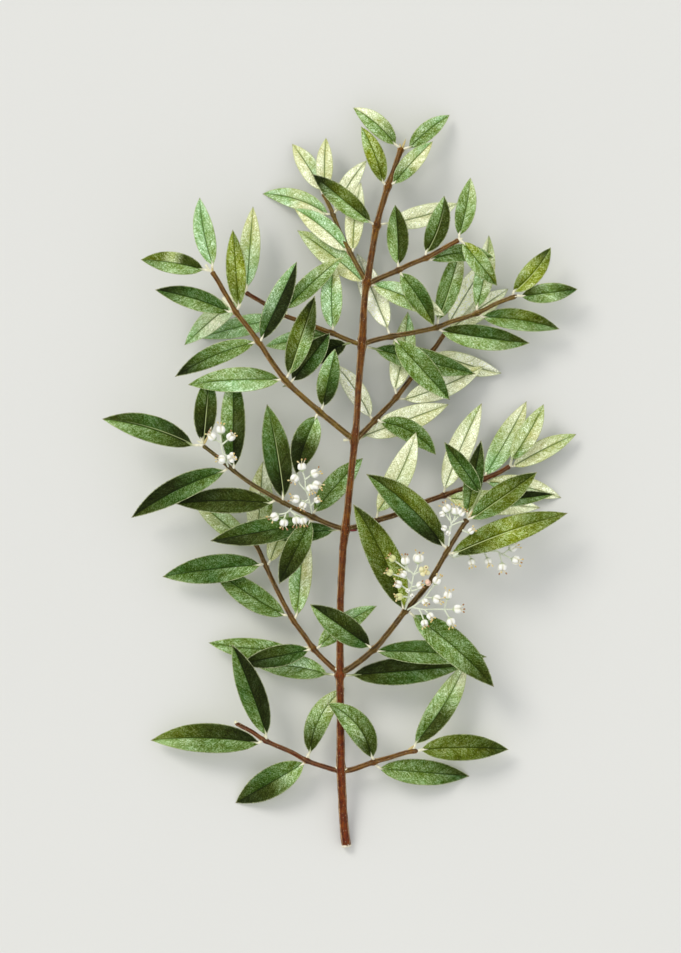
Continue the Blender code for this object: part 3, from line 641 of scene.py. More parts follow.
SHOOT_C_RIGHT = ((345.5, 529, 26), (356.3, 527, 24.8), (375.3, 521, 22.5), (400.3, 513, 19),
                 (425.4, 502, 15.8), (441.4, 496.2, 14), (464.4, 488.2, 12.2), (486.4, 478, 10.8),
                 (498.4, 473, 10), (510.3, 466, 9.4))
SHOOT_D_LEFT = ((354, 440, 27.5), (337.6, 426.6, 29), (321.6, 413.5, 30.5), (302.9, 397.2, 32.2),
                (287.3, 382.7, 33.6), (273.5, 364.4, 35), (260.8, 345.2, 36.4), (249, 328.8, 37.2),
                (235.5, 311.4, 38), (220.2, 284.9, 38.8), (212.3, 271.8, 39.2))
SHOOT_D_RIGHT = ((355.5, 440, 27.5), (364.8, 430.8, 25.5), (373.6, 421.6, 23), (383.2, 411.2, 19),
                 (395, 399, 15), (412.5, 376.5, 12), (434, 349, 9), (444.2, 334.3, 7.8),
                 (449.3, 327.3, 7.2))
SHOOT_E_LEFT = ((361.8, 345, 25.5), (347.5, 339.9, 24.6), (332.6, 333.4, 23.5), (313.8, 326.4, 22.3),
                (295.2, 319.5, 21), (284.2, 315.2, 20.2), (262.3, 302.3, 18.5), (245.3, 292.3, 17))
SHOOT_E_RIGHT = ((362, 344.5, 25.5), (375.2, 340.2, 25), (388.2, 337.2, 24.2), (410.2, 333.2, 23.3),
                 (434.2, 328.2, 22.3), (450.2, 322.1, 21.6), (475.3, 314, 20.5), (495.3, 304, 19.5),
                 (508.3, 298.8, 19), (517, 295.6, 18.6))
SHOOT_F_LEFT = ((367, 284, 23.2), (362.5, 275, 22.4), (355.2, 262, 21), (350, 252, 20),
                (344.5, 241.2, 18.8), (339.2, 230.4, 17.5), (334.2, 217.4, 16), (328.7, 204.2, 14),
                (322.8, 193.2, 12.5))
SHOOT_F_RIGHT = ((367.2, 284, 23.2), (380.6, 278, 25.2), (398.7, 270.2, 27.5), (410.7, 264.2, 29),
                 (426.6, 258, 30.5), (445.3, 247.6, 31.8), (459, 240.2, 32.6))

STEM_LEAVES = (
    Leaf((353, 107, 8), (395, 144, 16.5), 10, "leaf light", "green pale ivory", arch=2, bow=-1.6),
    Leaf((450, 114, 4), (410, 147, 15.5), 9, "leaf light mint", "leaf light", arch=2, bow=0.8),
    Leaf((361, 126, 14), (383, 182, 19), 9.5, "moss lime light", "moss lime", arch=2, bow=-1.2),
    Leaf((433, 141, 16), (394, 183, 18.5), 9.5, "green pale mint", "leaf leaf cream cream cream",
         arch=2, bow=0.5),
    Leaf((312, 174, 23), (370, 222, 22.5), 11, "light light dark", "olive moss dark"),
    Leaf((458, 203, 16), (390, 223, 20), 11, "ivory", "ivory", bow=-1.2),
    Leaf((297, 230, 10), (362, 281, 20.5), 12.5, "cream pale", "mint pale", arch=0, bow=-1),
    Leaf((445, 316, 27), (373, 285, 23.5), 11.5, "mint ivory", "pale light ivory", bow=1.2),
    Leaf((291, 362, 22), (346, 344, 25), 11.5, "dark", "dark"),
    Leaf((476, 374, 13), (376, 349, 21.5), 12.5, "sage green sage", "green leaf green", arch=0),
    Leaf((449, 404, 13), (366, 435, 21.5), 13, "ivory", "ivory cream", arch=0, root=(355, 442, 27)),
    Leaf((265, 535, 18), (333, 530, 24.5), 10, "sage green", "sage", arch=0),
    Leaf((256, 667, 5), (326, 674, 16.5), 12, "green light", "leaf mint mint", arch=0, bow=-2),
    Leaf((465, 666, 14), (354, 675, 19), 14, "dark olive", "olive sage green", arch=0),
)
A_LEFT_LEAVES = (
    Leaf((345, 688, 12.5), (310, 752, 14.5), 11.5, "olive light pale", "olive light cream", bow=4),
    Leaf((235, 804, 0), (303, 764, 13), 15, "light olive dark", "green sage olive", arch=2),
    Leaf((232, 644, 23), (266, 734, 18), 13.5, "green sage green", "dark", bow=-0.8),
    Leaf((150, 741, 6), (258, 743, 17), 15, "green green light", "dark olive moss", arch=2, bow=-2),
)
A_RIGHT_LEAVES = (
    Leaf((327, 703, 24), (372, 757, 15), 13, "olive light green", "olive leaf", arch=2, bow=-4.5),
    Leaf((470, 777, 0), (381, 769, 12.5), 13, "leaf green olive", "leaf leaf sage",
         root=(373.5, 763.5, 13.1)),
    Leaf((467, 661, 9), (416, 743, 17), 13, "green light pale", "olive olive light ivory", bow=-1.8),
    Leaf((509, 750, 9), (422, 750, 16.5), 13.5, "moss olive", "moss moss olive", bow=1.2),
)
B_LEFT_LEAVES = (
    Leaf((377, 606, 15), (319, 647, 17.5), 10.5, "light mint", "leaf", bow=2),
    Leaf((241, 664, 15.5), (308, 650, 17.5), 11, "sage dark", "sage olive dark"),
    Leaf((208, 643, 6), (290, 650, 13), 10.5, "green leaf", "leaf", bow=1),
    Leaf((212, 567, 8), (284, 615, 14.5), 13, "green", "green sage", bow=1.2),
    Leaf((305, 527, 13), (297, 614, 15.5), 11.5, "light mint cream", "light cream ivory"),
    Leaf((162, 577, 10), (259, 565, 13.5), 14.5, "leaf sage green", "sage", arch=1.5, bow=-0.8),
    Leaf((288, 512, 9), (270, 561, 12), 9.5, "cream", "cream mint"),
    Leaf((263, 461, 9), (257, 541, 10.5), 13, "ivory cream cream", "cream leaf white"),
    Leaf((190, 492, 4), (250, 542, 9), 11, "light cream", "pale mint", bow=1.2),
)
B_RIGHT_LEAVES = (
    Leaf((310, 604, 30), (369, 646, 25), 13.5, "sage leaf", "dark olive dark"),
    Leaf((487, 657, 18.5), (378, 651, 23.5), 12, "sage green", "green leaf", bow=0.8),
    Leaf((353, 504, 33), (403, 607, 30), 16, "olive moss", "lime moss olive", bow=-2.2),
    Leaf((494, 687, 24), (414, 616, 29.5), 15.5, "green green olive", "leaf leaf olive", arch=2, bow=1.8),
    Leaf((366, 474, 34), (443, 545, 34.5), 15, "dark sage green", "olive moss olive", bow=-2.8),
    Leaf((568, 513, 25), (453, 553, 33.5), 14, "moss moss lime moss moss", "olive lime moss",
         bow=1.5, rib=0.75),
    Leaf((537, 472, 30), (471, 518, 35.5), 13, "green moss olive", "green moss moss", rib=0.5),
    Leaf((481, 440, 29), (467, 513, 34.5), 9.5, "green olive dark", "moss sage olive"),
    Leaf((444, 442, 37), (480, 492, 36.5), 9, "sage green sage", "sage sage olive"),
    Leaf((555, 494, 23), (480, 503, 33), 7.5, "dark", "leaf green"),
)
C_LEFT_LEAVES = (
    Leaf((363, 458, 17), (315, 511, 26), 12, "green leaf", "green leaf mint", bow=0.8),
    Leaf((279, 584, 24), (310, 521, 27.5), 12.5, "green olive dark", "green olive dark"),
    Leaf((210, 541, 19), (308, 523, 26.5), 13, "sage olive dark", "green sage olive"),
    Leaf((267, 404, 26), (283, 497, 30.5), 14, "dark sage green", "dark olive green", bow=-0.7, rib=0.6),
    Leaf((176, 504, 18), (270, 503, 29), 13, "olive", "olive dark", bow=-1.5),
    Leaf((234, 370, 27), (234, 466, 33), 12.5, "sage leaf light", "dark olive sage", bow=0.4),
    Leaf((131, 518, 16), (224, 471, 31), 12.5, "green sage olive", "sage dark dark", bow=-2.2),
    Leaf((102, 419, 24), (192, 445, 33.5), 13.5, "olive green leaf", "dark sage olive", bow=-2.2, rib=0.45),
    Leaf((209, 375, 28), (203, 441, 34), 11.5, "dark olive green", "dark olive sage", rib=0.6),
)
C_RIGHT_LEAVES = (
    Leaf((416, 432, 30), (378, 511, 23.5), 13, "cream ivory", "pale ivory", bow=-1.8),
    Leaf((482, 403, 13), (445, 488, 15), 12.5, "ivory ivory pale", "ivory", bow=0.8),
    Leaf((541, 508, 5), (449, 498, 13.5), 12, "pale ivory", "cream ivory"),
    Leaf((527, 401, 4.5), (486, 474, 11), 12, "mint pale ivory", "mint cream", bow=-0.6),
    Leaf((562, 498, 0), (488, 482, 10), 10.5, "cream ivory", "mint ivory", bow=1.5),
    Leaf((544, 404, 11), (512, 459, 12.5), 10.5, "pale", "leaf cream pale", bow=-0.8),
    Leaf((577, 434, 5), (514, 466, 9), 10, "ivory cream pale", "cream pale", bow=0.7),
)
D_LEFT_LEAVES = (
    Leaf((200, 198, 36), (213, 265, 39.5), 10.5, "mint", "light mint", bow=1.2),
    Leaf((141, 260, 31), (203, 270, 39), 11, "leaf light green", "olive olive pale moss moss", bow=-1),
    Leaf((155, 290, 30), (229, 312, 37.5), 11, "green leaf sage", "sage sage dark", bow=-1.3),
    Leaf((233, 230, 38), (239, 306, 39), 10, "moss lime", "moss lime moss"),
    Leaf((297, 262, 38), (262, 339, 38), 11.5, "sage mint", "dark"),
    Leaf((175, 377, 27), (254, 343, 36), 10.5, "leaf green dark", "leaf green dark", bow=-2),
    Leaf((315, 296, 39), (289, 374, 35.5), 12, "olive moss dark", "green light olive olive", rib=0.6),
    Leaf((330, 333, 32), (293, 380, 33), 12, "dark olive dark", "dark sage sage"),
    Leaf((188, 385, 32), (279, 380, 34), 12.5, "light mint leaf", "green light leaf", bow=-1.2),
    Leaf((335, 349, 33), (323, 406, 32), 11, "olive leaf mint", "dark sage green"),
    Leaf((296, 474, 31), (316, 417, 31), 13.5, "light olive dark", "green dark dark", bow=-0.8),
)
D_RIGHT_LEAVES = (
    Leaf((335, 364, 9), (370, 416, 20), 10, "white", "ivory white", bow=-1.2),
    Leaf((436, 455, 19), (381, 422, 24.5), 11, "green", "green leaf", bow=3.5),
    Leaf((408, 311, 8), (395, 389, 15), 12, "ivory pale", "ivory pale mint", bow=-1),
    Leaf((484, 366, 8), (406, 399, 12.5), 12, "ivory white cream", "ivory", bow=-1.2),
    Leaf((502, 373, 2.5), (438, 353, 8), 10, "ivory white", "cream ivory", bow=-1),
    Leaf((509, 288, 0), (451, 328, 6.5), 11, "ivory white", "ivory"),
    Leaf((488, 258, 3), (450, 321, 7), 11, "white", "white"),
)
E_LEFT_LEAVES = (
    Leaf((334, 262, 19), (333, 328, 23), 11, "mint", "light mint cream", bow=1),
    Leaf((343, 257, 23), (287, 308, 22), 10, "sage leaf pale", "leaf leaf light", arch=1.5, bow=0.9),
    Leaf((200, 338, 0), (279, 319, 17), 10.5, "mint", "mint", bow=-1),
    Leaf((265, 346, 14), (329, 334, 21.5), 10, "light", "green mint"),
    Leaf((253, 206, 14), (247, 286, 17), 10.5, "mint pale cream", "mint pale cream"),
    Leaf((184, 345, 7), (241, 297, 16), 11, "mint ivory mint", "ivory mint", bow=-0.8),
)
E_RIGHT_LEAVES = (
    Leaf((357, 253, 8), (387, 327, 21), 12.5, "white", "ivory white", arch=0),
    Leaf((450, 400, 22), (396, 341, 23.5), 13.5, "leaf green sage", "leaf", arch=2),
    Leaf((461, 245, 17), (438, 319, 22), 11, "green leaf", "green leaf cream", bow=-0.8, rib=0.5),
    Leaf((530, 343, 14), (442, 331, 21.5), 12.5, "olive sage olive", "light light green", bow=-0.5),
    Leaf((489, 235, 16), (477, 307, 20.5), 10, "leaf mint ivory", "leaf cream pale", bow=-1),
    Leaf((560, 329, 12), (483, 317, 19.5), 11, "sage moss olive", "leaf leaf green", bow=1.5),
    Leaf((551, 247, 16), (514, 291, 18.5), 10.5, "moss lime olive", "lime lime moss", bow=-1.3, rib=0.6),
    Leaf((578, 289, 14), (522, 296, 18.3), 10, "olive leaf olive", "green light sage"),
)
F_LEFT_LEAVES = (
    Leaf((292, 143, 4), (321, 189, 12), 10, "ivory cream", "mint cream", bow=-0.7),
    Leaf((326, 137, 10), (325, 189, 14), 8.5, "cream ivory cream", "cream", bow=0.5),
    Leaf((262, 193, 0), (327, 214, 14.5), 10, "ivory cream mint light", "mint pale mint", bow=-2.6),
    Leaf((367, 160, 13), (336, 211, 16.5), 9, "ivory", "ivory", bow=1.5),
    Leaf((361, 182, 18.5), (353, 250, 20.5), 9.5, "cream ivory", "cream ivory", bow=1),
    Leaf((294, 208, 13), (346, 250, 19.5), 11, "ivory cream", "mint", bow=-1.5),
)
F_RIGHT_LEAVES = (
    Leaf((395, 205, 30), (398, 264, 28.5), 11, "light leaf green", "olive", bow=-0.5),
    Leaf((434, 326, 30), (401, 274, 28), 11, "green sage olive", "leaf green moss", arch=2, bow=1),
    Leaf((444, 196, 32), (426, 252, 31.5), 11, "olive green light", "olive", bow=-1.8, rib=0.5),
    Leaf((494, 258, 23), (431, 260, 30), 9, "green leaf", "green", bow=3),
    Leaf((470, 178, 34), (459, 235, 33.2), 10, "green leaf light", "leaf light pale", bow=-0.8),
    Leaf((497, 286, 27), (463, 243, 32.5), 10, "lime light moss", "light light green"),
)

SPRAY_C_END = (
    Flower([(229.5, 469, 32.2), (227, 463, 34.5), (223, 452, 36.5), (221, 440, 37.5)], (221, 430, 38),
            (0.0, 1.0, 0.1), size=1.05),
    Flower([(221.5, 443, 37.3)], (212.8, 437, 38.3), (-0.7, 0.7, 0.2)),
    Flower([(222, 445, 37.1)], (231, 437, 38.2), (0.6, 0.6, 0.5)),
    Flower([(224, 454, 36.2)], (232.5, 457.5, 38), (0.5, 0.2, 0.8), size=0.85, spread=0.6),
    Flower([(226.5, 463, 34.9)], (222.5, 459.5, 37), (-1.0, 0.1, 0.2)),
)
SPRAY_C_UPPER = (
    Flower([(312, 515.5, 28.3), (311, 508, 31), (309, 499, 32.8), (306, 489, 34), (305, 479, 35)],
            (302, 467, 36), (-0.1, 1.0, 0.1)),
    Flower([(306.5, 491, 33.8), (300, 484, 35)], (295, 478, 35.8), (-0.5, -0.8, 0.3)),
    Flower([(307.5, 496, 33.3)], (310.5, 488, 34.8), (0.3, -0.7, 0.4), size=0.95),
    Flower([(305, 480, 35)], (314.5, 473.5, 36), (0.9, 0.4, 0.2)),
    Flower([(307.5, 495, 33.4)], (316.2, 484.8, 35.2), (0.8, -0.3, 0.3), size=1.05),
    Flower([(310, 503, 32.2)], (296, 499, 34.2), (-0.9, 0.2, 0.4)),
    Flower([(309, 499, 32.8)], (303, 505, 34), (-0.3, -0.8, 0.5), size=0.85),
    Flower([(310.5, 506, 31.6)], (317, 500, 33.6), (0.6, 0.4, 0.6), size=0.75),
)
SPRAY_C_LOWER = (
    Flower([(292, 507, 29.3), (290, 510, 31), (286, 513, 32)], (275, 516.5, 32.2), (-0.8, -0.5, 0.2)),
    Flower([(286, 513, 32)], (284, 522.5, 32), (-0.1, -1.0, 0.1), size=0.95),
    Flower([(290, 510, 31)], (296.5, 520, 32), (0.1, -1.0, 0.1)),
    Flower([(292, 512, 31.6)], (303, 520.5, 32), (0.3, -1.0, 0.1), size=0.95),
)
SPRAY_B_FIRST = (
    Flower([(448, 550, 33.5), (449, 540, 35.8), (450, 530, 36.6), (451, 525, 36.8), (450, 518, 37)],
            (446.5, 508.5, 37.3), (-0.6, 0.8, 0.2), size=1.05),
    Flower([(465, 521, 35), (459, 522, 36.7), (451, 525, 36.8), (454, 519, 37)], (455, 511, 37.3),
            (0.0, 1.0, 0.2)),
    Flower([(450, 521, 36.9)], (442, 514, 37.2), (-0.8, -0.3, 0.3), size=0.7),
    Flower([(453, 522, 36.9)], (461, 513, 37.4), (0.6, 0.7, 0.3), size=0.85),
    Flower([(450, 532, 36.5)], (444, 528, 37.4), (-0.8, 0.3, 0.5), size=0.7),
    Flower([(450, 526, 36.8)], (448, 533, 37.6), (-0.3, -0.6, 0.7), size=0.6),
    Flower([(461, 529, 34.8), (464, 531, 35.6)], (470.5, 531, 36), (0.8, 0.6, 0.3), size=0.75),
)
SPRAY_B_SECOND = (
    Flower([(404, 612, 28.5), (407, 604, 33), (410, 596, 35), (411, 587, 36.2), (413, 575, 37),
            (409, 570, 37.4)], (405.2, 560.7, 37.7), (-0.1, 1.0, 0.2), size=1.05),
    Flower([(413, 575, 37), (417, 568, 37.4)], (418.2, 558.4, 37.6), (0.1, 1.0, 0.2), size=1.2),
    Flower([(413, 575, 37), (418, 572, 37.2)], (424.6, 570.6, 37.8), (0.3, 0.1, 1.0), size=0.85,
            spread=0.8, tint=BUTTER_TINT),
    Flower([(411, 587, 36.2)], (419.2, 585, 37.3), (0.8, 0.2, 0.5), size=0.8),
    Flower([(410.5, 591, 35.7), (418, 588.5, 36.6)], (427.5, 582.4, 37.5), (0.9, 0.4, 0.3), size=0.7,
            tint=PINK_TINT),
    Flower([(411.5, 584, 36.4)], (403.3, 574.1, 37.8), (-0.7, 0.6, 0.4), size=0.85),
    Flower([(410.5, 592, 35.6)], (398.2, 584, 37.6), (-0.8, 0.3, 0.5), size=0.9),
    Flower([(410, 572, 37.3)], (392.4, 558.5, 38), (-0.7, 0.6, 0.3), size=0.85, tint=LEMON_TINT),
    Flower([(406, 578, 37)], (389.9, 572.5, 38), (-0.8, 0.4, 0.3), size=0.8, tint=LEMON_TINT),
    Flower([(409.5, 597, 34.8)], (399.1, 596.4, 37), (-0.8, -0.1, 0.6), size=0.85, tint=LEMON_TINT),
    Flower([(411, 587, 36.2)], (407.7, 590.4, 37.2), (-0.4, -0.3, 0.8), size=0.5),
    Flower([(410.5, 592, 35.6)], (411.8, 595.4, 36.6), (0.3, -0.5, 0.8), size=0.5),
)
SPRAY_B_THIRD = (
    Flower([(405, 611, 28.5), (410, 608, 32), (415, 605, 33.6), (424, 598, 34.8), (430, 590, 35.4)],
            (436.4, 580.6, 36), (0.5, 0.9, 0.2)),
    Flower([(425, 597, 34.9)], (436.5, 599, 36), (0.9, -0.3, 0.3), size=1.05),
    Flower([(422, 600, 34.6)], (425.2, 601.6, 35.9), (0.3, -0.6, 0.7), size=0.85),
    Flower([(412, 607, 32.8), (422, 609, 34), (434, 609, 34.8), (446, 609, 35.2)], (457.2, 608.9, 35.6),
            (1.0, 0.1, 0.2), size=1.05),
    Flower([(444, 609, 35.2)], (447.5, 595, 35.7), (0.2, 1.0, 0.2)),
    Flower([(444, 609, 35.2)], (450.5, 621.3, 35.7), (0.4, -1.0, 0.2)),
    Flower([(424, 609, 34.1)], (430, 615.7, 35.2), (0.5, -0.7, 0.5), size=0.85),
    Flower([(419, 608.5, 33.7)], (424.3, 622.6, 34.8), (0.2, -0.9, 0.4), size=0.85),
)
SPRAY_B_FOURTH = (
    Flower([(448, 553, 33.2), (453, 557, 29.5), (460, 556, 28), (471, 553, 26.5), (484, 552, 25.5),
            (496, 551, 25), (502, 554, 25)], (512.5, 547.5, 25), (0.9, 0.5, 0.1)),
    Flower([(501, 553.5, 25)], (515.5, 560, 25.4), (0.9, -0.3, 0.3)),
    Flower([(499, 552.5, 25)], (502, 567, 25.4), (0.0, -1.0, 0.2)),
    Flower([(484, 552, 25.5)], (488, 561, 26.6), (0.3, -0.9, 0.3), size=0.85),
    Flower([(468, 554, 26.8)], (471.5, 562, 28), (0.1, -0.9, 0.3), size=0.85),
)

# How far along a bud or a stub, and its radius there as a share of the widest
BUD_PROFILE = ((0.0, 0.6), (0.15, 0.92), (0.35, 1.0), (0.6, 0.8), (0.8, 0.5), (0.93, 0.22))
STUB_PROFILE = ((0.0, 0.62), (0.3, 0.7), (0.6, 0.82), (0.85, 0.96), (0.97, 1.0), (1.0, 0.8))
BUDS = {
    "main_stem": (
        Bud((351, 440, 27), (343.5, 440, 26.5), 1.6, blunt=True),
        Bud((349, 530, 26), (357.5, 530.5, 26), 1.4, tint=STUB_TINT),
        Bud((338, 769.5, 12.4), (335, 766.5, 13.2)),
        Bud((344, 771.5, 12.4), (347.4, 768.6, 13.2)),
        Bud((337.5, 671, 20.3), (335, 667.5, 21)),
        Bud((343, 672, 20.3), (345.6, 668.6, 21)),
        Bud((401.5, 150, 15.4), (406, 138.5, 15.6), 1.3, tint=TAN_TINT),
        Bud((401, 149.5, 15.6), (399.8, 143, 16.2), 1.1, tint=TAN_TINT),
        Bud((402.5, 149, 15.4), (404, 143.5, 16.4), 1.0, tint=TAN_TINT),
    ),
    "shoot_a_left": (
        Bud((244, 727.5, 17.1), (234.5, 721.8, 17.6), 1.7, blunt=True),
        Bud((266, 739, 16), (263.5, 734.5, 17)),
        Bud((309.5, 759, 13.6), (306.5, 753.5, 14.6)),
    ),
    "shoot_a_right": (
        Bud((408, 750.5, 16), (416, 744.5, 17), 1.3, tint=TAN_TINT),
        Bud((418, 750.5, 16.4), (424, 748.5, 17)),
    ),
    "shoot_b_right": (
        Bud((453, 556, 33.2), (458.5, 552.5, 34.2), 1.7, tint=STALK_TINT),
        Bud((467, 519.5, 35), (472.5, 510.5, 36), 1.2, tint=TAN_TINT),
    ),
    "shoot_c_left": (
        Bud((203.5, 444, 34.2), (196.8, 440.5, 35)),
        Bud((203.5, 443.5, 34.4), (200.8, 437, 35.4)),
        Bud((204.5, 444, 34.4), (208.5, 435.5, 35.8), 1.2, tint=TAN_TINT),
        Bud((208, 436.5, 35.6), (212, 426.5, 36.5), 1.3),
    ),
    "shoot_d_left": (
        Bud((212, 273.5, 39.2), (206, 265.5, 39.8), 1.4, blunt=True),
        Bud((213, 273, 39.3), (212.4, 266.5, 40.1), 1.2, tint=TAN_TINT),
        Bud((233.5, 311, 38.1), (223.5, 297.8, 38.7), 2.1, blunt=True),
        Bud((237.5, 306.5, 38.4), (230.5, 295, 39.2), 1.3, blunt=True),
        Bud((238.5, 309.5, 38.2), (241.5, 303.5, 39.4), 1.2),
        Bud((289, 384, 33.6), (282.5, 387.2, 33.2), 1.5, tint=MOSSY_TINT),
    ),
    "shoot_e_left": (
        Bud((287, 317, 20.4), (286.2, 308.8, 21.6)),
        Bud((288, 317, 20.3), (282.6, 319, 20.8), 1.3),
    ),
    "shoot_e_right": (
        Bud((510, 297.8, 18.9), (517.5, 296, 19.8), 1.2),
    ),
    "shoot_f_right": (
        Bud((457.5, 241, 32.6), (463, 238.4, 33.6)),
    ),
}

SHOOTS = {
    "shoot_a_left": Shoot(SHOOT_A_LEFT, (2.6, 2.2), (RUSSET_BARK, RUSSET_BARK), A_LEFT_LEAVES),
    "shoot_a_right": Shoot(SHOOT_A_RIGHT, (3.0, 2.2), (BROWN_BARK, BROWN_BARK), A_RIGHT_LEAVES),
    "shoot_b_left": Shoot(SHOOT_B_LEFT, (2.7, 2.2), (BROWN_BARK, UMBER_BARK), B_LEFT_LEAVES),
    "shoot_b_right": Shoot(SHOOT_B_RIGHT, (3.2, 2.3), (UMBER_BARK, UMBER_BARK), B_RIGHT_LEAVES),
    "shoot_c_left": Shoot(SHOOT_C_LEFT, (2.6, 1.9), (UMBER_BARK, MOSSY_BARK), C_LEFT_LEAVES),
    "shoot_c_right": Shoot(SHOOT_C_RIGHT, (3.0, 2.3), (UMBER_BARK, RUSSET_BARK), C_RIGHT_LEAVES),
    "shoot_d_left": Shoot(SHOOT_D_LEFT, (3.0, 2.4), (KHAKI_BARK, BROWN_BARK), D_LEFT_LEAVES),
    "shoot_d_right": Shoot(SHOOT_D_RIGHT, (2.8, 2.3), (UMBER_BARK, BROWN_BARK), D_RIGHT_LEAVES),
    "shoot_e_left": Shoot(SHOOT_E_LEFT, (2.5, 2.2), (KHAKI_BARK, RUSSET_BARK), E_LEFT_LEAVES),
    "shoot_e_right": Shoot(SHOOT_E_RIGHT, (2.7, 2.1), (UMBER_BARK, KHAKI_BARK), E_RIGHT_LEAVES),
    "shoot_f_left": Shoot(SHOOT_F_LEFT, (2.5, 2.0), (KHAKI_BARK, KHAKI_BARK), F_LEFT_LEAVES),
    "shoot_f_right": Shoot(SHOOT_F_RIGHT, (2.8, 2.3), (UMBER_BARK, BROWN_BARK), F_RIGHT_LEAVES),
}
SPRAYS = {
    "spray_c_left_end": SPRAY_C_END,
    "spray_c_left_upper": SPRAY_C_UPPER,
    "spray_c_left_lower": SPRAY_C_LOWER,
    "spray_b_right_first": SPRAY_B_FIRST,
    "spray_b_right_second": SPRAY_B_SECOND,
    "spray_b_right_third": SPRAY_B_THIRD,
    "spray_b_right_fourth": SPRAY_B_FOURTH,
}

# Up the outside of a bell and back down its inside: how far along, radius, and how deep its four lobes part
BELL_PROFILE = (
    (0.03, 0.12, 0.0), (0.08, 0.30, 0.2), (0.20, 0.47, 0.45), (0.36, 0.57, 0.7), (0.52, 0.60, 0.85),
    (0.68, 0.58, 0.95), (0.82, 0.52, 1.0), (0.92, 0.44, 1.0), (0.97, 0.34, 1.0), (0.93, 0.26, 0.9),
    (0.80, 0.26, 0.6), (0.60, 0.26, 0.3), (0.42, 0.20, 0.1), (0.36, 0.08, 0.0),
)
CALYX_PROFILE = (
    (-0.08, 0.11, 0.0), (0.0, 0.19, 0.0), (0.07, 0.33, 0.3), (0.15, 0.43, 1.0), (0.11, 0.34, 0.6),
)
ANTHER_PROFILE = ((0.0, 0.5), (0.15, 0.9), (0.4, 1.0), (0.65, 0.95), (0.88, 0.6))

OUTLINE = smooth_run(BLADE_STATIONS, 0.01)


def outline(share):
    """The blade's width at a share of its length, as a share of the widest."""
    return np.maximum(np.interp(share, OUTLINE[:, 0], OUTLINE[:, 1]), 0.0)


def midrib(leaf, share):
    """Points of the midrib: the run from base to tip, bent sideways by bow and upwards by arch."""
    base, tip = at(*leaf.base), at(*leaf.tip)
    run = tip - base
    left = unit(np.array((-run[1], run[0], 0.0)))
    share = np.asarray(share, float)[:, None]
    bend = 4.0 * share * (1.0 - share) * MM
    return base + share * run + bend * (leaf.bow * left + leaf.arch * UP)


def tone_run(names, share):
    """Colours at shares of a blade's length, from the names of the tones that follow along it."""
    tones = np.array([linear(TONES[name]) for name in names.split()])
    stops = np.linspace(0.15, 0.85, len(tones))
    return np.column_stack([np.interp(share, stops, channel) for channel in tones.T])


def is_back_up(leaf):
    """Whether the leaf shows its pale underside to the viewer."""
    return PALE_TONES.issuperset(leaf.left.split() + leaf.right.split())


def blade_wave(draw, share, half, across):
    """A slow wave of each margin, of its own for either half."""
    turns = draw.uniform(1.2, 2.2, 2)
    starts = draw.uniform(0.0, math.tau, 2)
    waves = np.sin(math.tau * turns * share[:, None] + starts)
    wave = np.where(across > 0.0, waves[:, :1], waves[:, 1:])
    return WAVE_HEIGHT * wave * across ** 2 * np.minimum(1.0, half / (3.0 * MM))


def blade_relief(leaf, share, along, reach, across):
    """The quilting between the side veins, and the midrib, raised on the back and sunk on the front."""
    steep = np.abs(across)
    phase = (along - VEIN_SLANT * np.abs(reach)) / MM / VEIN_SPACING + 0.5 * (across < 0.0)
    quilt = QUILT_HEIGHT * np.cos(math.tau * phase) * np.sin(math.pi * steep) ** 2
    rib = MIDRIB_HEIGHT * np.exp(-(reach / MIDRIB_REACH) ** 2) * (1.0 - 0.6 * share[:, None])
    return quilt + rib if is_back_up(leaf) else quilt - rib


def add_blade(sheaf, leaf, seed):
    """The folded blade: a quilted top, a fine-toothed edge and a back that runs level with the top."""
    draw = np.random.default_rng(seed)
    length = np.linalg.norm(at(*leaf.tip) - at(*leaf.base))
    share = np.linspace(0.0, 1.0, round(length / BLADE_SPACING) + 1)[:-1]
    places = midrib(leaf, share)
    side, normal = square_to(unit(np.gradient(places, axis=0)))
    half = np.maximum(0.5 * leaf.width * MM * outline(share), 0.3 * PETIOLE_RADIUS)[:, None]
    along = share[:, None] * length

    top = np.array([*HALF_ACROSS, 0.0, *(-v for v in reversed(HALF_ACROSS))])
    across = np.concatenate([top, top[-2:0:-1]])
    is_top = np.arange(len(across)) < len(top)
    steep = np.abs(across)
    is_margin = steep == 1.0
    teeth = TOOTH * (-1.0) ** np.arange(len(share)) * draw.uniform(0.3, 1.0, len(share))
    reach = half * across + is_margin * np.sign(across) * teeth[:, None]

    fold = FOLD * np.maximum(half - 0.6 * MM, 0.0) * (1.2 * steep - 0.2 * steep ** 2)
    thick = BLADE_THICKNESS * (1.0 - 0.75 * steep ** 3) * np.minimum(1.0, half / (1.5 * MM))
    face = np.where(is_margin, 0.0, np.where(is_top, 0.5, -0.5)) * thick
    lift = fold + blade_wave(draw, share, half, across) + face
    lift = lift + blade_relief(leaf, share, along, reach, across)
    rings = places[:, None] + reach[..., None] * side[:, None] + lift[..., None] * normal[:, None]

    shape = rings.shape[:2]
    under = linear(TONES[UNDER_A_PALE_LEAF if is_back_up(leaf) else UNDER_A_DARK_LEAF])
    # The top's tones carry the painted light and shade of each half
    left, right = (np.where(is_top[:, None], tone_run(names, share)[:, None], under)
                   for names in (leaf.left, leaf.right))
    blade = per_point(shape, along / MM, reach / MM, half / MM * (1.0 - steep))
    # The third number of leaf is how strong the painted highlight beside the midrib is, on the top only
    about = per_point(shape, share[:, None], draw.uniform(0.0, 10.0), np.where(is_top, leaf.rib, 0.0))
    sheaf.skin(rings, at(*leaf.tip), left_tone=left, right_tone=right, blade=blade, leaf=about)


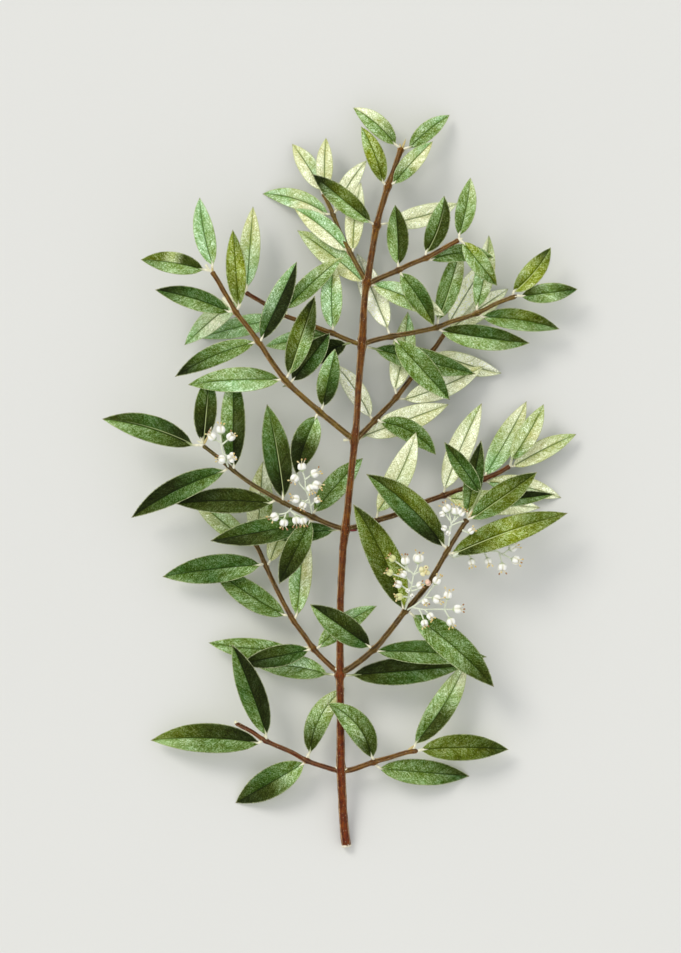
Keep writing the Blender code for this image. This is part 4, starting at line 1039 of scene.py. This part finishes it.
def leaf_root(leaf, path):
    """Where the leaf's stalk leaves the bark: a little behind the blade's base, leaning its way."""
    if leaf.root:
        return at(*leaf.root)
    base = at(*leaf.base)
    reach = np.linalg.norm((nearest_on(path, base) - base)[:2])
    return nearest_on(path, base - 0.8 * reach * unit(at(*leaf.tip) - base))


def add_petiole(sheaf, leaf, path, seed):
    """The leaf stalk, from inside the twig to where it thins out in the midrib, and the bud in its axil."""
    draw = np.random.default_rng(seed)
    root = leaf_root(leaf, path)
    inner = midrib(leaf, (0.0, 0.02, 0.04, 0.07))
    run = smooth_run(np.vstack([root, inner]), 0.45 * MM)
    along = travelled(run)
    free = np.linalg.norm(inner[0] - root)
    beyond = np.clip((along - free) / (along[-1] - free), 0.0, 1.0)
    radii = PETIOLE_RADIUS * (1.0 - 0.75 * beyond) * (1.0 + 0.3 * np.exp(-along / (1.0 * MM)))
    green = np.clip((along - PETIOLE_WHITE) / PETIOLE_WHITE, 0.0, 1.0)[:, None]
    sheaf.tube(run, radii, PETIOLE_SIDES, tint=blend(green, PETIOLE_TINT, PETIOLE_END_TINT))
    heading = unit(inner[0] - root)
    lean = unit(heading + 0.7 * UP + draw.normal(0.0, 0.15, 3))
    start = root + 1.1 * MM * heading
    add_bud(sheaf, start, start + draw.uniform(1.3, 2.0) * MM * lean, AXIL_BUD_RADIUS)


def add_bud(sheaf, start, end, radius, tint=SCALE_TINT, blunt=False):
    """A small pointed bud, or a blunt stub that widens to its end."""
    share, swell = np.array(STUB_PROFILE if blunt else BUD_PROFILE).T
    tip = end + 0.02 * (end - start)
    places = start + share[:, None] * (end - start)
    sheaf.tube(places, swell * radius, BUD_SIDES, tip, tint=linear(tint))


def add_bark(sheaf, run, sides, first_tint, last_tint, knots, is_cut):
    """Bark over a run of (place, radius), swollen where leaves stand, its tint changing from first to last.

    Where the run starts at a cut, its first ring is torn and closed by a hollow of bare wood.
    """
    run = smooth_run(run, TWIG_SPACING)
    places, radii = run[:, :3], run[:, 3]
    along = travelled(places)
    for knot in knots:
        here = along[np.argmin(np.linalg.norm(places - knot, axis=1))]
        radii = radii * (1.0 + NODE_SWELLING * np.exp(-((along - here) / NODE_LENGTH) ** 2))
    radii = radii * np.sqrt(np.clip((along[-1] - along + 0.15 * MM) / END_LENGTH, 0.0, 1.0))
    along, radii = along[:, None], radii[:, None]
    turn = np.arange(sides) / sides
    lumps = 0.03 * np.cos(math.tau * 3 * turn + along / (2.1 * MM))
    lumps = lumps + 0.02 * np.cos(math.tau * 5 * turn - along / (1.3 * MM))
    rings = round_rings(places, radii * (1.0 + lumps), sides)
    shape = rings.shape[:2]
    bark = per_point(shape, along / MM, turn, radii / MM)
    tint = np.broadcast_to(blend(along / along[-1], first_tint, last_tint), (*shape, 4))
    cut = np.zeros((*shape, 1))
    if is_cut:
        cut = cut + np.clip(1.0 - along / CUT_LENGTH, 0.0, 1.0)[..., None]
        torn = np.random.default_rng(CUT_SEED).uniform(0.0, 0.8, sides)
        rings[0] += torn[:, None] * (rings[1] - rings[0])
        hollow = places[0] + 0.35 * (rings[0] - places[0]) + CUT_HOLLOW * unit(places[1] - places[0])
        rings = np.concatenate([hollow[None], rings])
        bark, tint, cut = (np.concatenate([table[:1], table]) for table in (bark, tint, cut))
    sheaf.skin(rings, bark=bark, tint=tint, cut=cut)


def clefts(roll):
    """How far the lobes part at each point round a flower, from 0 to 1: four clefts, turned by the roll."""
    angle = math.tau * np.arange(FLOWER_SIDES) / FLOWER_SIDES
    return (1.0 - np.abs(np.cos(2.0 * (angle - roll)))) ** 1.8


def lobed_rings(start, axis, length, profile, cleft, notch, reach):
    """Rings round an axis whose four lobes are parted by notches and drawn out along the axis."""
    side, normal = square_to(axis)
    angle = math.tau * np.arange(FLOWER_SIDES)[:, None] / FLOWER_SIDES
    outward = np.cos(angle) * side + np.sin(angle) * normal
    along, radius, parted = np.array(profile).T[..., None]
    pull = parted * cleft
    ahead = (along - reach * pull)[..., None] * axis
    return start + length * (ahead + (radius * (1.0 - notch * pull))[..., None] * outward)


def spread_profile(spread):
    """The bell's profile with its mouth opened by a share, so that the lobes stand out flat."""
    along, radius, parted = np.array(BELL_PROFILE).T
    share = spread * parted
    return np.column_stack([along * (1.0 - 0.45 * share), radius * (1.0 + 0.7 * share), parted])


def add_stamen(stamens, back, axis, length, lean, draw):
    """A filament out of the bell's mouth, leaning to one side, with its anther."""
    side, normal = square_to(axis)
    out = draw.uniform(0.3, 0.5) * lean
    up = draw.uniform(-0.05, 0.3)
    far = draw.uniform(1.15, 1.4)
    marks = ((0.45, 0.0, 0.0), (0.85, 0.35 * out, 0.4 * up), (far, out, up))
    way = np.array([back + length * (a * axis + b * side + c * normal) for a, b, c in marks])
    filament = smooth_run(way, 0.5 * MM)
    radii = np.full(len(filament), FILAMENT_RADIUS)
    stamens.tube(filament, radii, FILAMENT_SIDES, tint=linear(FILAMENT_TINT))
    heading = unit(filament[-1] - filament[-3] + draw.normal(0.0, 0.3 * MM, 3))
    share, plump = np.array(ANTHER_PROFILE).T
    places = filament[-1] + (share[:, None] - 0.25) * ANTHER_LENGTH * heading
    end = filament[-1] + 0.75 * ANTHER_LENGTH * heading
    tint = linear(ANTHER_TINTS[draw.integers(len(ANTHER_TINTS))])
    stamens.tube(places, ANTHER_RADIUS * plump, ANTHER_SIDES, end, tint=tint)


def add_flower(stalks, bells, stamens, flower, seed):
    """A stalk with its calyx, a bell of four lobes with a cleft facing up, and its stamens."""
    draw = np.random.default_rng(seed)
    axis = unit(np.array(flower.faces))
    length = FLOWER_LENGTH * flower.size
    back = at(*flower.place) - 0.5 * length * axis
    route = smooth_run(np.vstack([*(at(*mark) for mark in flower.stalk), back]), 0.6 * MM)
    radii = STALK_RADIUS * np.linspace(1.0, 0.85, len(route))
    stalks.tube(route, radii, STALK_SIDES, tint=linear(STALK_TINT))
    cleft = clefts(math.pi / 4 + draw.normal(0.0, 0.3))
    calyx = lobed_rings(back, axis, length, CALYX_PROFILE, cleft, CALYX_NOTCH, CALYX_REACH)
    stalks.skin(calyx, tint=linear(CALYX_TINT))
    along, _, parted = np.array(BELL_PROFILE).T[..., None]
    tint = blend(np.clip((along - 0.05) / 0.25, 0.0, 1.0), CALYX_TINT, flower.tint)
    # The clefts tinted darker: partly their own yellower colour, partly painted shade in the creases
    tint = tint + 0.75 * (parted * cleft)[..., None] * (linear(CLEFT_TINT_AND_SHADE) - tint)
    notch = BELL_NOTCH + OPEN_EXTRA * flower.spread
    reach = BELL_REACH + OPEN_EXTRA * flower.spread
    profile = spread_profile(flower.spread)
    bells.skin(lobed_rings(back, axis, length, profile, cleft, notch, reach), tint=tint)
    for lean in STAMEN_LEANS if flower.size > OPEN_SIZE else ():
        add_stamen(stamens, back, axis, length, lean, draw)


def stem_run():
    """The main stem's places and radii, in metres."""
    return np.array([[*at(*mark[:3]), 0.5 * mark[3] * MM] for mark in STEM_RUN])


def twig_run(shoot):
    """A twig's places and radii, in metres."""
    places = np.array([at(*mark) for mark in shoot.run])
    return np.column_stack([places, 0.5 * MM * np.linspace(*shoot.thick, len(places))])


def dress(node, run, sides, barks, leaves, seed):
    """Replaces a leafy node with its bark, its blades and its leaf stalks."""
    path = run[:, :3]
    bark, blades, petioles = Sheaf(), Sheaf(), Sheaf()
    add_bark(bark, run, sides, *barks, [leaf_root(leaf, path) for leaf in leaves], node == "main_stem")
    for number, leaf in enumerate(leaves):
        add_blade(blades, leaf, seed + number)
        add_petiole(petioles, leaf, path, seed + number)
    for bud in BUDS.get(node, ()):
        add_bud(petioles, at(*bud.foot), at(*bud.tip), 0.5 * bud.width * MM, bud.tint, bud.blunt)
    bark.piece("bark_" + node, MATERIALS["bark"], "bark", node)
    pale = sum(is_back_up(leaf) for leaf in leaves) > len(leaves) / 2
    blades.piece("leaves_" + node, MATERIALS["leaf"], "back_leaf" if pale else "front_leaf", node)
    petioles.piece("petioles_" + node, MATERIALS["petiole"], "back_leaf", node)


def dress_spray(node, flowers, seed):
    """Replaces a flower spray with its stalks, bells and stamens."""
    stalks, bells, stamens = Sheaf(), Sheaf(), Sheaf()
    for number, flower in enumerate(flowers):
        add_flower(stalks, bells, stamens, flower, seed + number)
    stalks.piece("stalks_" + node, MATERIALS["stalk"], "petal", node)
    bells.piece("bells_" + node, MATERIALS["petal"], "petal", node)
    stamens.piece("stamens_" + node, MATERIALS["stamen"], "petal", node)


def set_floor():
    mesh = bpy.data.meshes.new("tabletop")
    corners = [(x * FLOOR_REACH, y * FLOOR_REACH, 0.0) for x, y in ((-1, -1), (1, -1), (1, 1), (-1, 1))]
    mesh.from_pydata(corners, [], [(0, 1, 2, 3)])
    mesh.materials.append(floor_material())
    floor = add_object("tabletop", mesh)


def set_light():
    """An even sky, and a soft sun from the upper left."""
    world = bpy.data.worlds.new("studio")
    bpy.context.scene.world = world
    world.use_nodes = True
    background = world.node_tree.nodes["Background"].inputs
    background["Color"].default_value = (0.96, 0.98, 1.0, 1.0)
    background["Strength"].default_value = 0.9
    data = bpy.data.lights.new("key", "SUN")
    data.energy = 1.25
    data.angle = math.radians(24.0)
    data.color = (1.0, 0.98, 0.94)
    add_object("key", data).rotation_euler = (math.radians(-32.0), math.radians(-36.0), 0.0)


def set_camera():
    """Looks straight down through a long lens, so that the marks fall on the photograph's own grid."""
    data = bpy.data.cameras.new("camera")
    data.lens = 500.0
    data.sensor_width = 36.0
    data.clip_end = 100.0
    high = PHOTO_DOWN * MARK * data.lens / data.sensor_width
    across = (0.5 * PHOTO_ACROSS - CENTRE_ACROSS) * MARK
    down = (CENTRE_DOWN - 0.5 * PHOTO_DOWN) * MARK
    camera = add_object("camera", data)
    camera.location = (across, down, MIDDLE_HEIGHT + high)
    bpy.context.scene.camera = camera


# A fleshy one has a name, a scale and a depth of its relief, a roughness and a strength of its mottling
MATERIALS = {
    "bark": bark_material(),
    "leaf": leaf_material(),
    "petiole": fleshy_material("petiole", 500.0, 0.05 * MM, 0.45, 0.3),
    "stalk": fleshy_material("stalk", 600.0, 0.05 * MM, 0.5, 0.3),
    "petal": fleshy_material("petal", 500.0, 0.06 * MM, 0.5, 0.12),
    "stamen": fleshy_material("stamen", 1500.0, 0.08 * MM, 0.55, 0.5),
}
bpy.context.scene.view_settings.view_transform = "Standard"
dress("main_stem", stem_run(), STEM_SIDES, (RED_BARK, BROWN_BARK), STEM_LEAVES, STEM_SEED)
for number, (node, shoot) in enumerate(SHOOTS.items()):
    dress(node, twig_run(shoot), TWIG_SIDES, shoot.barks, shoot.leaves, SHOOT_SEED + SEED_STEP * number)
for number, (node, flowers) in enumerate(SPRAYS.items()):
    dress_spray(node, flowers, SPRAY_SEED + SEED_STEP * number)
set_floor()
set_light()
set_camera()
